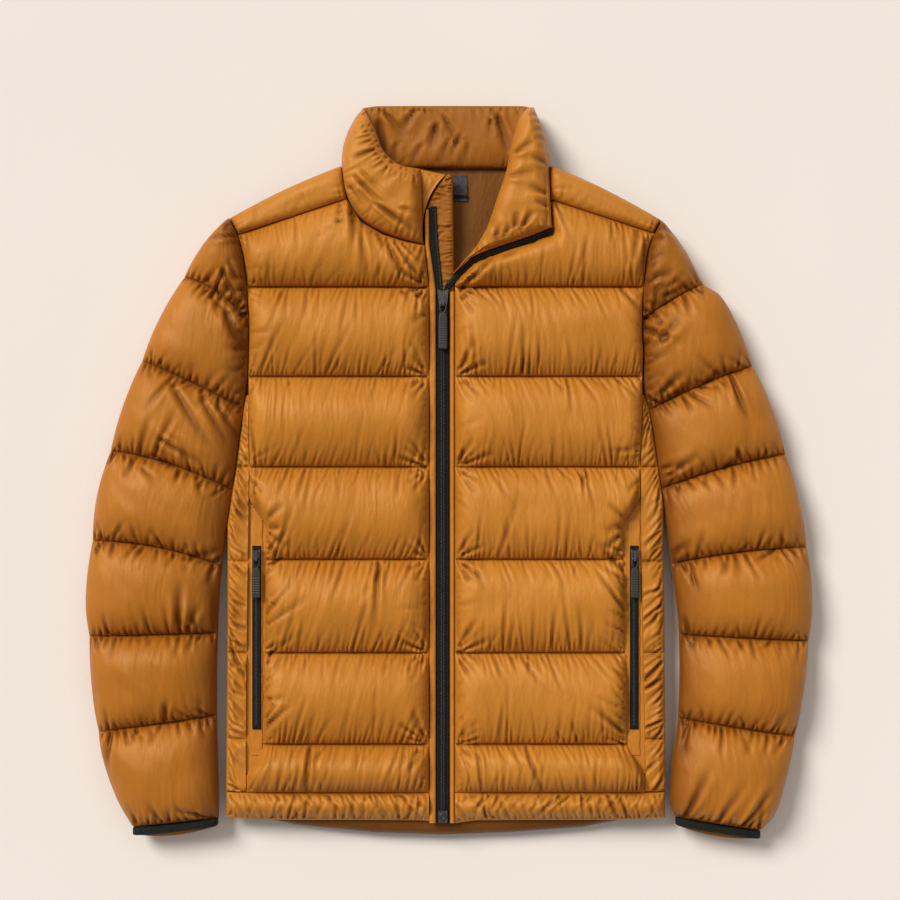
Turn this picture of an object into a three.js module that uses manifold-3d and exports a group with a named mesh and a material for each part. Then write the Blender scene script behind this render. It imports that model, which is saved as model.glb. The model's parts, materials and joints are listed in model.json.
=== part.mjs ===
// A quilted puffer jacket laid flat, front up, with its collar open at the top.
// Millimetres. X runs across the jacket, Y towards the collar, Z up from the surface it lies on.
// "out" is a distance from the middle plane X = 0 towards either sleeve, so a table serves its own side.
// Each cloth piece is a padded slab: a plain inside, an outside raised between its quilt lines.
import * as THREE from "three";
import { mergeVertices } from "three/addons/utils/BufferGeometryUtils.js";
import Module from "manifold-3d";

// Heights of the two layers
const GAP = 0.3;
const UNDER_TOP = 24.3;
const OVER_FOOT = UNDER_TOP + GAP;
const EDGE = 2.4;
const STITCH = 11;
const LOFT = 34;
const SLEEVE_LOFT = 32;
const HEM_LOFT = 19;
const ROLL = 26;
const RISE = 22;
const SEAM = 0.25;

// Main zip
const ZIP_TOP = 197;
const ZIP_BOTTOM = -376;
const ZIP_CENTRE = -6.5;
const GUARD_THICK = 8;
const TAPE_THICK = 1.6;
const LIP_THICK = 5;
const CHAIN_WIDTH = 5.4;
const CHAIN_THICK = 1.5;
const CHAIN_BOTTOM = -362;
const BOX = { y: -369, width: 9.7, length: 13, thick: 3.4 };
const RIGHT_LIP = { inner: 1.1, outer: 6.1, top: 195 };

// Sliders and pull tabs
const MAIN_SLIDER = { x: -6.5, y: 188.4, width: 12, length: 18, tab: 38, tabWidth: 10 };
const POCKET_SLIDER = { width: 9, length: 13, tab: 31, tabWidth: 8.6 };

// Pocket zips: the bed is the flat strip of the front that each one lies on
const BED_TOP = -20;
const BED_BOTTOM = -310;
const BED_WIDTH = 19;
const WELT_THICK = 0.8;
const POCKET_ZIP = { y: -176.5, width: 9.5, length: 197, weltWidth: 13, weltLength: 253, sliderY: -88 };

// Turned-out corner: height of its crown, and the loop in the neck
const LAPEL_CROWN = 61;
const LOOP = { x: 12.5, y: 309, width: 16, length: 28, thick: 1.8 };

const COLOURS = { shell: 0xc07a30, lining: 0x8a5518, black: 0x262522, metal: 0x4a4a48, loop: 0x45413d };

// Silhouettes and seams, from the collar down: y, and the distance out from the middle plane
const SIDES = {
  left: {
    sign: -1,
    sleeveOuter: [
      { y: 275.4, out: 239.2 }, { y: 248, out: 263.5 }, { y: 212, out: 287 }, { y: 167, out: 312 },
      { y: 122, out: 332.5 }, { y: 74, out: 351 }, { y: 24, out: 367 }, { y: -26, out: 380 },
      { y: -73, out: 386.5 }, { y: -137, out: 392 }, { y: -176, out: 390 }, { y: -279, out: 380 },
      { y: -315, out: 371.5 }, { y: -353, out: 357.5 }, { y: -382, out: 343.5 }, { y: -393, out: 340 },
    ],
    sleeveInner: [
      { y: 275.4, out: 237.8 }, { y: 254, out: 227 }, { y: 222.5, out: 219.2 }, { y: 181, out: 216 },
      { y: 163, out: 214.6 }, { y: 111, out: 216 }, { y: 84, out: 219.8 }, { y: 68, out: 221.4 },
      { y: -18, out: 233.3 }, { y: -100, out: 245.2 }, { y: -172, out: 249.5 }, { y: -261, out: 250.6 },
      { y: -353, out: 248.4 }, { y: -393, out: 249 },
    ],
    princess: [
      { y: 276, out: 246 }, { y: 187, out: 222 }, { y: 111, out: 216.2 }, { y: 68, out: 215.5 },
      { y: -8, out: 215 }, { y: -288, out: 218.2 }, { y: -380, out: 217 },
    ],
    body: [{ y: 276, out: 238.5 }, { y: -159, out: 238.7 }, { y: -392, out: 240.8 }],
    bodyJoins: -78,
    frontTop: [
      { out: 226, y: 256 }, { out: 110.2, y: 294.5 }, { out: 94, y: 269.5 }, { out: 71.3, y: 256.6 },
      { out: 47.5, y: 249.2 }, { out: 27, y: 245 }, { out: 21, y: 244.5 },
    ],
    zipEdge: [{ y: 300, out: 27.3 }, { y: 246, out: 26.3 }, { y: 197, out: 21.6 }, { y: -380, out: 21.6 }],
    yoke: { shoulder: [[235.8, 275.4], [116.4, 331.4]], seam: [[226.2, 256.4], [110.4, 295]] },
    sleeveRows: [
      { outer: 274.8, inner: 274.6, bow: 0 }, { outer: 211, inner: 163, bow: 8 },
      { outer: 121, inner: 69, bow: 2 }, { outer: 24, inner: -19, bow: 7 },
      { outer: -73, inner: -100, bow: 7 }, { outer: -176, inner: -172, bow: 0 },
      { outer: -279, inner: -261, bow: 0 }, { outer: -381, inner: -371, bow: 0 },
    ],
    pocketOut: 206.6,
    frontColumns: [0.36, 0.48, 0.58, 0.66, 0.775, 0.894, 0.96, 1],
  },
  right: {
    sign: 1,
    sleeveOuter: [
      { y: 273.2, out: 230.6 }, { y: 241, out: 253.8 }, { y: 204, out: 276.5 }, { y: 192, out: 293 },
      { y: 157, out: 312 }, { y: 115.6, out: 329.4 }, { y: 70, out: 348.8 }, { y: 20.5, out: 365 },
      { y: -29, out: 378 }, { y: -80, out: 387.7 }, { y: -137, out: 392 }, { y: -181, out: 390 },
      { y: -284, out: 375 }, { y: -329, out: 364 }, { y: -369, out: 352 }, { y: -386, out: 338 },
      { y: -397, out: 332 },
    ],
    sleeveInner: [
      { y: 273.2, out: 229.4 }, { y: 245, out: 216 }, { y: 223.6, out: 211.7 }, { y: 164, out: 207.4 },
      { y: 121, out: 209.5 }, { y: 84, out: 211.5 }, { y: 68, out: 216 }, { y: -17, out: 229 },
      { y: -99, out: 240 }, { y: -174, out: 248.4 }, { y: -263.5, out: 247.3 }, { y: -314, out: 240.8 },
      { y: -356, out: 238.7 }, { y: -377, out: 246 }, { y: -393, out: 248 },
    ],
    princess: [
      { y: 276, out: 240 }, { y: 187, out: 216 }, { y: 121, out: 208.6 }, { y: 68, out: 207.9 },
      { y: 30, out: 206.4 }, { y: -62, out: 206.3 }, { y: -299, out: 210.6 }, { y: -380, out: 210.6 },
    ],
    body: [{ y: 276, out: 231 }, { y: -81, out: 231.1 }, { y: -159, out: 232.2 }, { y: -392, out: 233.5 }],
    bodyJoins: -64,
    frontTop: [
      { out: 219.5, y: 257.6 }, { out: 113.4, y: 292.3 }, { out: 90, y: 286 }, { out: 70, y: 276 },
      { out: 50, y: 262 }, { out: 36, y: 246 }, { out: 22, y: 231.5 }, { out: 14, y: 221 }, { out: 6, y: 204 },
    ],
    zipEdge: [{ y: 300, out: 6.5 }, { y: -380, out: 6.5 }],
    yoke: { shoulder: [[228, 273.4], [111, 331.8]], seam: [[219.3, 258], [113.6, 293]] },
    sleeveRows: [
      { outer: 272.6, inner: 272.4, bow: 0 }, { outer: 204, inner: 164, bow: 3 },
      { outer: 115.6, inner: 68, bow: 3 }, { outer: 20.5, inner: -17, bow: 4 },
      { outer: -80, inner: -98, bow: 4 }, { outer: -181, inner: -174, bow: 0 },
      { outer: -284, inner: -264, bow: 0 }, { outer: -385, inner: -370, bow: 0 },
    ],
    pocketOut: 199,
    frontColumns: [0.36, 0.498, 0.608, 0.702, 0.796, 0.861, 0.927, 0.965, 1],
  },
};

// Quilt lines of the fronts and of the side panels
const FRONT_LINES = [199.8, 103.7, 6.5, -92.9, -193.3, -291.6, -343.4];
const SIDE_LINES = [84, 6.5, -95, -193.3, -286.2, -342.4];
const HEM_TOP = -343.9;
const HEM_FOOT = [{ out: 245, y: -371 }, { out: 200, y: -373.7 }, { out: 30, y: -374.5 }, { out: 6, y: -377.5 }];

// Edge of the back: shoulders and neck, then the dropped hem
const BACK_TOP = [
  { x: -238, y: 274.6 }, { x: -116.6, y: 330.5 }, { x: -112, y: 329.6 }, { x: 106, y: 329.6 },
  { x: 110.2, y: 330.8 }, { x: 229.5, y: 272.6 },
];
const BACK_HEM = [
  { x: -241, y: -366 }, { x: -165, y: -381.2 }, { x: -80, y: -389.5 }, { x: -7.6, y: -392 }, { x: 70, y: -389 },
  { x: 145, y: -383.4 }, { x: 213, y: -371 }, { x: 234, y: -365 },
];
const NECK = { left: -26, right: 62, top: 330, bottom: 203, floor: 11 };
const BACK_SEAM = 196;

// Collar: sections from its seam to its rim, from the zip round to the far fold
const COLLAR_LEFT = [
  { base: [-27.3, 246.6], mid: [-24.4, 288], rim: [-3.2, 321.8] },
  { base: [-47.5, 251], mid: [-42, 290], rim: [-29.2, 327.2] },
  { base: [-71.3, 259.6], mid: [-64, 296], rim: [-52.9, 331.6] },
  { base: [-94.8, 274.4], mid: [-84, 311], rim: [-70.2, 346.7] },
  { base: [-109.6, 298.6], mid: [-98.5, 336], rim: [-80, 370.4] },
  { base: [-115.8, 331.6], mid: [-110.5, 364], rim: [-92.5, 394] },
];
const COLLAR_BACK = [
  { base: [-115.4, 332], rim: [-92, 395] },
  { base: [-90, 330.2], rim: [-82, 396.6] },
  { base: [-62.6, 330], rim: [-70, 397.2] },
  { base: [0, 330], rim: [0, 397.4] },
  { base: [61.6, 330], rim: [70, 397.2] },
  { base: [88, 330.2], rim: [84, 396.4] },
  { base: [108.4, 332], rim: [91.5, 394.5] },
];
// The turned-out right corner: rows from the rim down, from the roll line to the free edge
const LAPEL = [
  { roll: [85, 394.6], edge: [91.5, 394.4] },
  { roll: [74.5, 379], edge: [101.5, 371] },
  { roll: [66, 350], edge: [109.3, 341.3] },
  { roll: [62.6, 329.4], edge: [108.2, 327.2] },
  { roll: [57, 311], edge: [108, 309] },
  { roll: [50.8, 292.7], edge: [108.2, 292.7] },
  { roll: [42.1, 267], edge: [110.2, 263.5] },
  { roll: [35, 253], edge: [85.3, 253.8] },
  { roll: [28, 242], edge: [43.2, 239.8] },
  { roll: [15, 227], edge: [22.7, 231.1] },
  { roll: [3.5, 213.5], edge: [7.6, 216.9] },
];
const LAPEL_FOOT = 36;
// The free stretch of the right tape, along the turned-out edge
const FREE_TAPE = [
  { inner: [-6.2, 197], outer: [0.5, 197], z: 33 },
  { inner: [-3, 204], outer: [3.2, 200.5], z: 34.2 },
  { inner: [7.9, 216.4], outer: [12.5, 212], z: 35.2 },
  { inner: [23, 230.5], outer: [26.5, 225.6], z: 36.5 },
  { inner: [43.4, 239.2], outer: [45.5, 234], z: 38.5 },
  { inner: [85.5, 253.2], outer: [87.4, 248], z: 41 },
  { inner: [110, 262.8], outer: [112, 257.6], z: 42 },
];
const GUARD_LEFT = [
  { y: 321.5, x: -2.4 }, { y: 314.4, x: -9.1 }, { y: 302.4, x: -17.3 }, { y: 284.2, x: -24.7 },
  { y: 270, x: -26.2 }, { y: 246, x: -25.6 }, { y: 197, x: -21.2 }, { y: -376, x: -21.2 },
];
const GUARD_RIGHT = [{ y: 321.5, x: 4.2 }, { y: 197, x: 6.1 }, { y: -376, x: 6.1 }];
const LIP_RIGHT = [{ y: 284, x: -21.6 }, { y: 246, x: -21 }, { y: 197, x: -14 }, { y: -376, x: -14 }];
const TAPE_RIGHT = [
  { y: 288, x: -13.6 }, { y: 246, x: -11.5 }, { y: 203, x: -7 }, { y: 190, x: -6.7 }, { y: -376, x: -6.7 },
];

const wasm = await Module();
wasm.setup();
const group = new THREE.Group();

// Value of a table's column at a place along another: straight between rows, held past the ends.
function along(table, place, from, to) {
  const rising = table[table.length - 1][from] > table[0][from];
  const before = (row) => (rising ? row[from] <= place : row[from] >= place);
  let i = 0;
  while (i < table.length - 2 && before(table[i + 1])) i += 1;
  const a = table[i];
  const b = table[i + 1];
  const t = THREE.MathUtils.clamp((place - a[from]) / (b[from] - a[from]), 0, 1);
  return a[to] + (b[to] - a[to]) * t;
}

// The same by a smooth curve through the rows.
function smoothAlong(table, place, from, to) {
  const rising = table[table.length - 1][from] > table[0][from];
  const before = (row) => (rising ? row[from] <= place : row[from] >= place);
  let i = 0;
  while (i < table.length - 2 && before(table[i + 1])) i += 1;
  const slope = (k) => {
    const a = table[Math.max(k - 1, 0)];
    const b = table[Math.min(k + 1, table.length - 1)];
    return (b[to] - a[to]) / (b[from] - a[from]);
  };
  const a = table[i];
  const b = table[i + 1];
  const span = b[from] - a[from];
  const t = THREE.MathUtils.clamp((place - a[from]) / span, 0, 1);
  const t2 = t * t;
  const t3 = t2 * t;
  return (2 * t3 - 3 * t2 + 1) * a[to] + (t3 - 2 * t2 + t) * slope(i) * span
    + (3 * t2 - 2 * t3) * b[to] + (t3 - t2) * slope(i + 1) * span;
}

// Quarter-round rise from 0 at an edge to 1 at a width from it.
function rise(distance, width) {
  const t = THREE.MathUtils.clamp(distance / width, 0, 1);
  return Math.sqrt(1 - (1 - t) ** 2);
}

// Fullness between two quilt lines.
function puff(w) {
  return Math.sin(Math.PI * THREE.MathUtils.clamp(w, 0, 1)) ** 0.75;
}

// A closed slab from a grid of points {x, y, top, foot}, rows by columns.
function slab(name, colour, grid) {
  const rows = grid.length;
  const columns = grid[0].length;
  const positions = [];
  for (const row of grid) for (const p of row) positions.push(p.x, p.y, p.top);
  for (const row of grid) for (const p of row) positions.push(p.x, p.y, p.foot);
  const top = (i, j) => i * columns + j;
  const foot = (i, j) => rows * columns + i * columns + j;
  const index = [];
  const quad = (a, b, c, d) => index.push(a, b, c, a, c, d);
  for (let i = 0; i < rows - 1; i += 1) {
    for (let j = 0; j < columns - 1; j += 1) {
      quad(top(i, j), top(i + 1, j), top(i + 1, j + 1), top(i, j + 1));
      quad(foot(i, j), foot(i, j + 1), foot(i + 1, j + 1), foot(i + 1, j));
    }
    quad(top(i, 0), foot(i, 0), foot(i + 1, 0), top(i + 1, 0));
    quad(top(i + 1, columns - 1), foot(i + 1, columns - 1), foot(i, columns - 1), top(i, columns - 1));
  }
  for (let j = 0; j < columns - 1; j += 1) {
    quad(top(0, j + 1), foot(0, j + 1), foot(0, j), top(0, j));
    quad(top(rows - 1, j), foot(rows - 1, j), foot(rows - 1, j + 1), top(rows - 1, j + 1));
  }
  if (volume(positions, index) < 0) index.reverse();
  const geometry = new THREE.BufferGeometry();
  geometry.setAttribute("position", new THREE.Float32BufferAttribute(positions, 3));
  geometry.setIndex(index);
  add(name, colour, geometry);
}

// Signed volume of a triangle mesh, to tell which way its faces point.
function volume(positions, index) {
  const corner = (k) => new THREE.Vector3().fromArray(positions, index[k] * 3);
  let sum = 0;
  for (let k = 0; k < index.length; k += 3) {
    sum += corner(k).dot(corner(k + 1).cross(corner(k + 2)));
  }
  return sum / 6;
}

function add(name, colour, geometry) {
  geometry.computeVertexNormals();
  const isMetal = colour === COLOURS.metal;
  const material = new THREE.MeshStandardMaterial({
    color: colour,
    roughness: isMetal ? 0.35 : 0.55,
    metalness: isMetal ? 0.9 : 0,
    flatShading: true,
  });
  const mesh = new THREE.Mesh(geometry, material);
  mesh.name = name;
  group.add(mesh);
  return mesh;
}

// Places in a baffle where a row of points runs, as shares of its height
const ROW_SHARES = [0, 0.12, 0.32, 0.6, 0.85];
const COARSE_SHARES = [0, 0.15, 0.5, 0.85];

// Outer edge of the body's layers: beside the sleeve, then free below it.
function bodyOut(side, y) {
  const beside = smoothAlong(side.sleeveInner, y, "y", "out") - 3 * SEAM;
  const free = along(side.body, y, "y", "out");
  return y > side.bodyJoins ? Math.min(beside, free) : free;
}

// Outer edge of a front: the armhole, then the seam with the side panel.
function frontOut(side, y) {
  const seam = smoothAlong(side.princess, y, "y", "out") - SEAM;
  return y > 60 ? Math.min(smoothAlong(side.sleeveInner, y, "y", "out") - 2 * SEAM, seam) : seam;
}

// Shortest way from a point to the turned-out corner: 0 inside it.
function lapelDistance(x, y) {
  const outline = [...LAPEL.map((row) => row.roll), ...LAPEL.map((row) => row.edge).reverse()];
  let nearest = Infinity;
  let inside = false;
  outline.forEach((a, k) => {
    const b = outline[(k + 1) % outline.length];
    const run = [b[0] - a[0], b[1] - a[1]];
    const length2 = run[0] ** 2 + run[1] ** 2;
    const t = THREE.MathUtils.clamp(((x - a[0]) * run[0] + (y - a[1]) * run[1]) / length2, 0, 1);
    nearest = Math.min(nearest, Math.hypot(x - a[0] - run[0] * t, y - a[1] - run[1] * t));
    if (a[1] > y !== b[1] > y && x < a[0] + ((y - a[1]) / run[1]) * run[0]) inside = !inside;
  });
  return inside ? 0 : nearest;
}

// Height that a front may have close to the turned-out corner, which lies on it.
function heightUnderLapel(x, y) {
  const clear = lapelDistance(x, y) - 14;
  return clear <= 0 ? 10 : 10 + clear * 0.9;
}

// Front of one side: columns from the outer seam to the zip.
function front(name, side) {
  const lines = [null, ...FRONT_LINES];
  const insets = [0, 4, BED_WIDTH, 34, 52];
  const grid = [];
  for (let block = 0; block < lines.length - 1; block += 1) {
    const shares = block === lines.length - 2 ? [...ROW_SHARES, 1] : ROW_SHARES;
    for (const w of shares) {
      grid.push([...insets, ...side.frontColumns].map((place) => {
        const at = (y) => {
          const outer = frontOut(side, y);
          const inner = along(side.zipEdge, y, "y", "out");
          return place > 1 || place === 0 ? outer - place : outer + (inner - outer) * place;
        };
        const lower = lines[block + 1];
        const upper = block === 0 ? topOfFront(side, at) : lines[block];
        const y = upper + (lower - upper) * w;
        const out = at(y);
        const full = puff(w);
        const fromZip = out - along(side.zipEdge, y, "y", "out");
        const bed = y < BED_TOP && y > BED_BOTTOM ? BED_WIDTH : 0;
        const fromSeam = frontOut(side, y) - out - bed;
        const shape = full * rise(Math.max(fromSeam, 0), RISE) * rise(fromZip, RISE + 6);
        let height = STITCH + (LOFT - STITCH) * shape;
        if (side.sign > 0) height = Math.min(height, heightUnderLapel(out, y));
        return { x: side.sign * out, y, top: OVER_FOOT + height, foot: OVER_FOOT };
      }));
    }
  }
  slab(name, COLOURS.shell, grid);
}

// Height of a front's upper edge at a column, found where the column meets that edge.
function topOfFront(side, at) {
  let y = 256;
  for (let step = 0; step < 6; step += 1) y = along(side.frontTop, at(y), "out", "y");
  return y;
}

// Narrow panel between a front and the side edge.
function sidePanel(name, side) {
  const grid = [];
  for (let block = 0; block < SIDE_LINES.length - 1; block += 1) {
    const shares = block === SIDE_LINES.length - 2 ? [...COARSE_SHARES, 1] : COARSE_SHARES;
    for (const w of shares) {
      const y = SIDE_LINES[block] + (SIDE_LINES[block + 1] - SIDE_LINES[block]) * w;
      const outer = bodyOut(side, y);
      const inner = frontOut(side, y) + 2 * SEAM;
      grid.push([0, 0.25, 0.6, 1].map((u) => {
        const out = outer + (inner - outer) * u;
        const shape = EDGE + (STITCH + 9 * puff(w) - EDGE) * rise(outer - out + 1, ROLL);
        const height = Math.min(shape, STITCH + (inner - out) * -0.3 + 4);
        return { x: side.sign * out, y, top: OVER_FOOT + Math.max(height, EDGE), foot: OVER_FOOT };
      }));
    }
  }
  slab(name, COLOURS.shell, grid);
}

// Shoulder yoke, from the shoulder's edge to its seam with the front.
function yoke(name, side) {
  const { shoulder, seam } = side.yoke;
  const grid = [0, 0.1, 0.3, 0.6, 0.85, 1].map((v) =>
    [0, 0.06, 0.2, 0.4, 0.6, 0.8, 0.94, 1].map((u) => {
      const bulge = 3 * Math.sin(Math.PI * u);
      const upper = [lerp(shoulder[0][0], shoulder[1][0], u), lerp(shoulder[0][1], shoulder[1][1], u) + bulge];
      const lower = [lerp(seam[0][0], seam[1][0], u), lerp(seam[0][1], seam[1][1], u)];
      const out = lerp(upper[0], lower[0], v);
      const y = lerp(upper[1], lower[1], v);
      const depth = upper[1] - y;
      const crown = STITCH + 13 * rise(1 - v, 0.45) * rise(Math.min(u, 1 - u), 0.16);
      const height = EDGE + (crown - EDGE) * rise(depth, 16);
      return { x: side.sign * out, y, top: OVER_FOOT + height, foot: OVER_FOOT };
    }));
  slab(name, COLOURS.shell, grid);
}

function lerp(a, b, t) {
  return a + (b - a) * t;
}

// Hem band of one front, below the last quilt line.
function hem(name, side) {
  const grid = [0, 0.2, 0.5, 0.8, 1].map((w) =>
    [0, 0.03, 0.1, 0.25, 0.45, 0.65, 0.85, 0.95, 1].map((u) => {
      const outer = bodyOut(side, HEM_TOP - 20 * w) - (w === 1 ? 1 : 0);
      const inner = along(side.zipEdge, HEM_TOP, "y", "out");
      const out = lerp(outer, inner, u);
      const y = lerp(HEM_TOP, along(HEM_FOOT, out, "out", "y"), w);
      const crown = 8 + (HEM_LOFT - 8) * Math.sin(Math.PI * Math.min(w + 0.08, 0.92));
      const height = EDGE + (crown - EDGE) * rise(outer - out, ROLL) * (w === 1 ? 0.3 : 1);
      return { x: side.sign * out, y, top: OVER_FOOT + height, foot: OVER_FOOT };
    }));
  slab(name, COLOURS.shell, grid);
}

// Back, from its seam with the back yoke down to the dropped hem.
function back() {
  const levels = [BACK_SEAM, 174, 150, 128, 106, 88, 70, 30, -20, -60, -95, -160, -230, -300, -343];
  const rows = levels.map((y) => () => y);
  for (const w of [0.4, 0.75, 1]) rows.push((x) => lerp(-343, along(BACK_HEM, x, "x", "y"), w));
  backLayer("back", rows);
}

// Yoke of the back: its middle is the floor of the neck's opening.
function backYoke() {
  const foot = BACK_SEAM + GAP;
  const rows = [0, 0.08, 0.2, 0.4, 0.65, 1].map((w) => (x) => lerp(along(BACK_TOP, x, "x", "y"), foot, w));
  backLayer("back_yoke", rows);
}

// A stretch of the back: flat underneath, its edges rounded up to the seam with the upper layer.
function backLayer(name, rows) {
  const across = [0, 0.015, 0.06, 0.15, 0.259, 0.36, 0.465, 0.5, 0.55, 0.6, 0.64, 0.7, 0.744, 0.85, 0.94, 0.985, 1];
  const place = (y, u) => lerp(-bodyOut(SIDES.left, y), bodyOut(SIDES.right, y), u);
  const grid = rows.map((rowY) => across.map((u) => {
    let y = 260;
    for (let step = 0; step < 8; step += 1) y = rowY(place(Math.min(y, 274), u));
    const x = place(Math.min(y, 274), u);
    const fromSide = Math.min(u, 1 - u) * 470;
    const sideRoll = lerp(1, rise(fromSide, ROLL), THREE.MathUtils.clamp((20 - y) / 70, 0, 1));
    const isShoulder = x < BACK_TOP[1].x || x > BACK_TOP[4].x;
    const shoulderRoll = isShoulder ? rise(along(BACK_TOP, x, "x", "y") - y, 16) : 1;
    const hemRoll = rise(y - along(BACK_HEM, x, "x", "y"), 14);
    const round = Math.min(sideRoll, shoulderRoll, hemRoll);
    const inNeck = x > NECK.left && x < NECK.right && y < NECK.top && y > NECK.bottom;
    const top = inNeck ? NECK.floor : UNDER_TOP - (1 - hemRoll) * 8;
    return { x, y, top, foot: (top - EDGE) * (1 - round) };
  }));
  slab(name, COLOURS.lining, grid);
}

// One layer of a sleeve: rows run from its outer edge to the armhole, then to its inner edge.
function sleeve(name, side, isUpper) {
  const rows = side.sleeveRows;
  const shares = isUpper ? COARSE_SHARES : [0, 0.33, 0.67];
  const columns = isUpper ? [0, 0.04, 0.13, 0.3, 0.5, 0.7, 0.87, 0.96, 1] : [0, 0.06, 0.18, 0.5, 0.82, 0.94, 1];
  const grid = [];
  for (let block = 0; block < rows.length - 1; block += 1) {
    const last = block === rows.length - 2 ? [...shares, 1] : shares;
    for (const w of last) {
      grid.push(columns.map((u) => {
        const p = sleevePoint(side, block, w, u);
        const free = THREE.MathUtils.clamp((block + w - 1.6) / 1.2, 0, 1);
        const outerRound = rise(p.fromOuter, ROLL);
        const innerRound = lerp(1, rise(p.fromInner, ROLL), free);
        if (!isUpper) {
          const foot = (UNDER_TOP - EDGE) * (1 - Math.min(outerRound, innerRound));
          return { x: p.x, y: p.y, top: UNDER_TOP, foot };
        }
        const low = STITCH * lerp(1, 0.9, free);
        const seamSide = lerp(rise(p.fromInner, RISE), 1, free);
        const crown = low + (SLEEVE_LOFT - low) * puff(block === 0 ? 0.3 + 0.7 * w : w) * seamSide;
        const height = EDGE + (crown - EDGE) * Math.min(outerRound, innerRound);
        return { x: p.x, y: p.y, top: OVER_FOOT + Math.max(height, EDGE), foot: OVER_FOOT };
      }));
    }
  }
  slab(name, COLOURS.shell, grid);
}

// A point of a sleeve: block and w run down its rows, u from the outer edge to the inner one.
function sleevePoint(side, block, w, u) {
  const a = side.sleeveRows[block];
  const b = side.sleeveRows[block + 1];
  const swell = 2.2 * puff(w);
  const outerY = lerp(a.outer, b.outer, w);
  const innerY = lerp(a.inner, b.inner, w);
  const outerX = smoothAlong(side.sleeveOuter, outerY, "y", "out") - 2.2 + swell;
  const innerX = smoothAlong(side.sleeveInner, innerY, "y", "out");
  const bow = lerp(a.bow, b.bow, w) * 4 * u * (1 - u);
  const out = lerp(outerX, innerX, u);
  return {
    x: side.sign * out,
    y: lerp(outerY, innerY, u) + bow,
    fromOuter: outerX - out,
    fromInner: out - innerX,
  };
}

// The cuff below the last row of the sleeve: the upper half is its binding, the lower half shows its inside.
function cuff(name, side, isUpper) {
  const row = side.sleeveRows.length - 2;
  const grid = [0, 0.5, 1].map((v) => [0, 0.1, 0.3, 0.5, 0.7, 0.9, 1].map((u) => {
    const p = sleevePoint(side, row, 1, lerp(0.01, 0.99, u));
    const round = rise(Math.min(p.fromOuter, p.fromInner), ROLL);
    const depth = isUpper ? 9 : 9 + 20 * u * (1 - u);
    const y = p.y - GAP - v * depth - 3 * u * (1 - u);
    const full = isUpper ? 15 : 17;
    const thick = EDGE + (full - EDGE) * round * (v === 1 ? 0.75 : 1);
    return isUpper
      ? { x: p.x, y, top: OVER_FOOT + thick, foot: OVER_FOOT }
      : { x: p.x, y, top: UNDER_TOP, foot: UNDER_TOP - thick };
  }));
  slab(name, isUpper ? COLOURS.black : COLOURS.shell, grid);
}

// A curve through three points of a section.
function section(row, v) {
  const mid = row.mid ?? [(row.base[0] + row.rim[0]) / 2, (row.base[1] + row.rim[1]) / 2];
  const weights = [(1 - v) * (1 - 2 * v), 4 * v * (1 - v), v * (2 * v - 1)];
  return [0, 1].map((k) => weights[0] * row.base[k] + weights[1] * mid[k] + weights[2] * row.rim[k]);
}

// A point between the sections of the collar.
function collarPoint(table, t, v) {
  const points = table.map((row) => new THREE.Vector3(...section(row, v), 0));
  return new THREE.CatmullRomCurve3(points, false, "centripetal").getPoint(t);
}

// Standing part of the collar on the zipped side, folded down over its back.
function collarLeft() {
  const around = [0, 0.05, 0.14, 0.26, 0.38, 0.5, 0.62, 0.74, 0.84, 0.92, 1];
  const grid = around.map((t) => [0, 0.08, 0.22, 0.45, 0.7, 0.88, 0.96, 1].map((v) => {
    const p = collarPoint(COLLAR_LEFT, t, v);
    const crown = STITCH + (LOFT - STITCH) * rise(v, 0.4) * rise(t, 0.16);
    const rim = lerp(0.28, 1, rise(1 - v, 0.26));
    const fold = rise(1 - t, 0.2);
    const height = EDGE + (crown * rim - EDGE) * fold;
    return { x: p.x, y: p.y, top: OVER_FOOT + height, foot: OVER_FOOT };
  }));
  slab("collar_left", COLOURS.shell, grid);
}

// Back of the collar, its inner face up, under the two folded ends.
function collarBack() {
  const around = [0, 0.04, 0.12, 0.25, 0.38, 0.5, 0.62, 0.75, 0.88, 0.96, 1];
  const grid = around.map((t) => [0, 0.12, 0.35, 0.62, 0.84, 0.95, 1].map((v) => {
    const p = collarPoint(COLLAR_BACK, t, v);
    const round = Math.min(rise(Math.min(t, 1 - t), 0.12), rise(1 - v, 0.22));
    const top = lerp(15, UNDER_TOP, rise(v, 0.4)) - 5 * (1 - rise(1 - v, 0.22));
    return { x: p.x, y: p.y, top, foot: (top - EDGE) * (1 - round) };
  }));
  slab("collar_back", COLOURS.shell, grid);
}

// A place along one edge of the lapel, counted in rows of its table.
function lapelEdge(edge, t) {
  const k = Math.min(Math.floor(t), LAPEL.length - 2);
  return new THREE.Vector3(...LAPEL[k][edge], 0).lerp(new THREE.Vector3(...LAPEL[k + 1][edge], 0), t - k);
}

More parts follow.
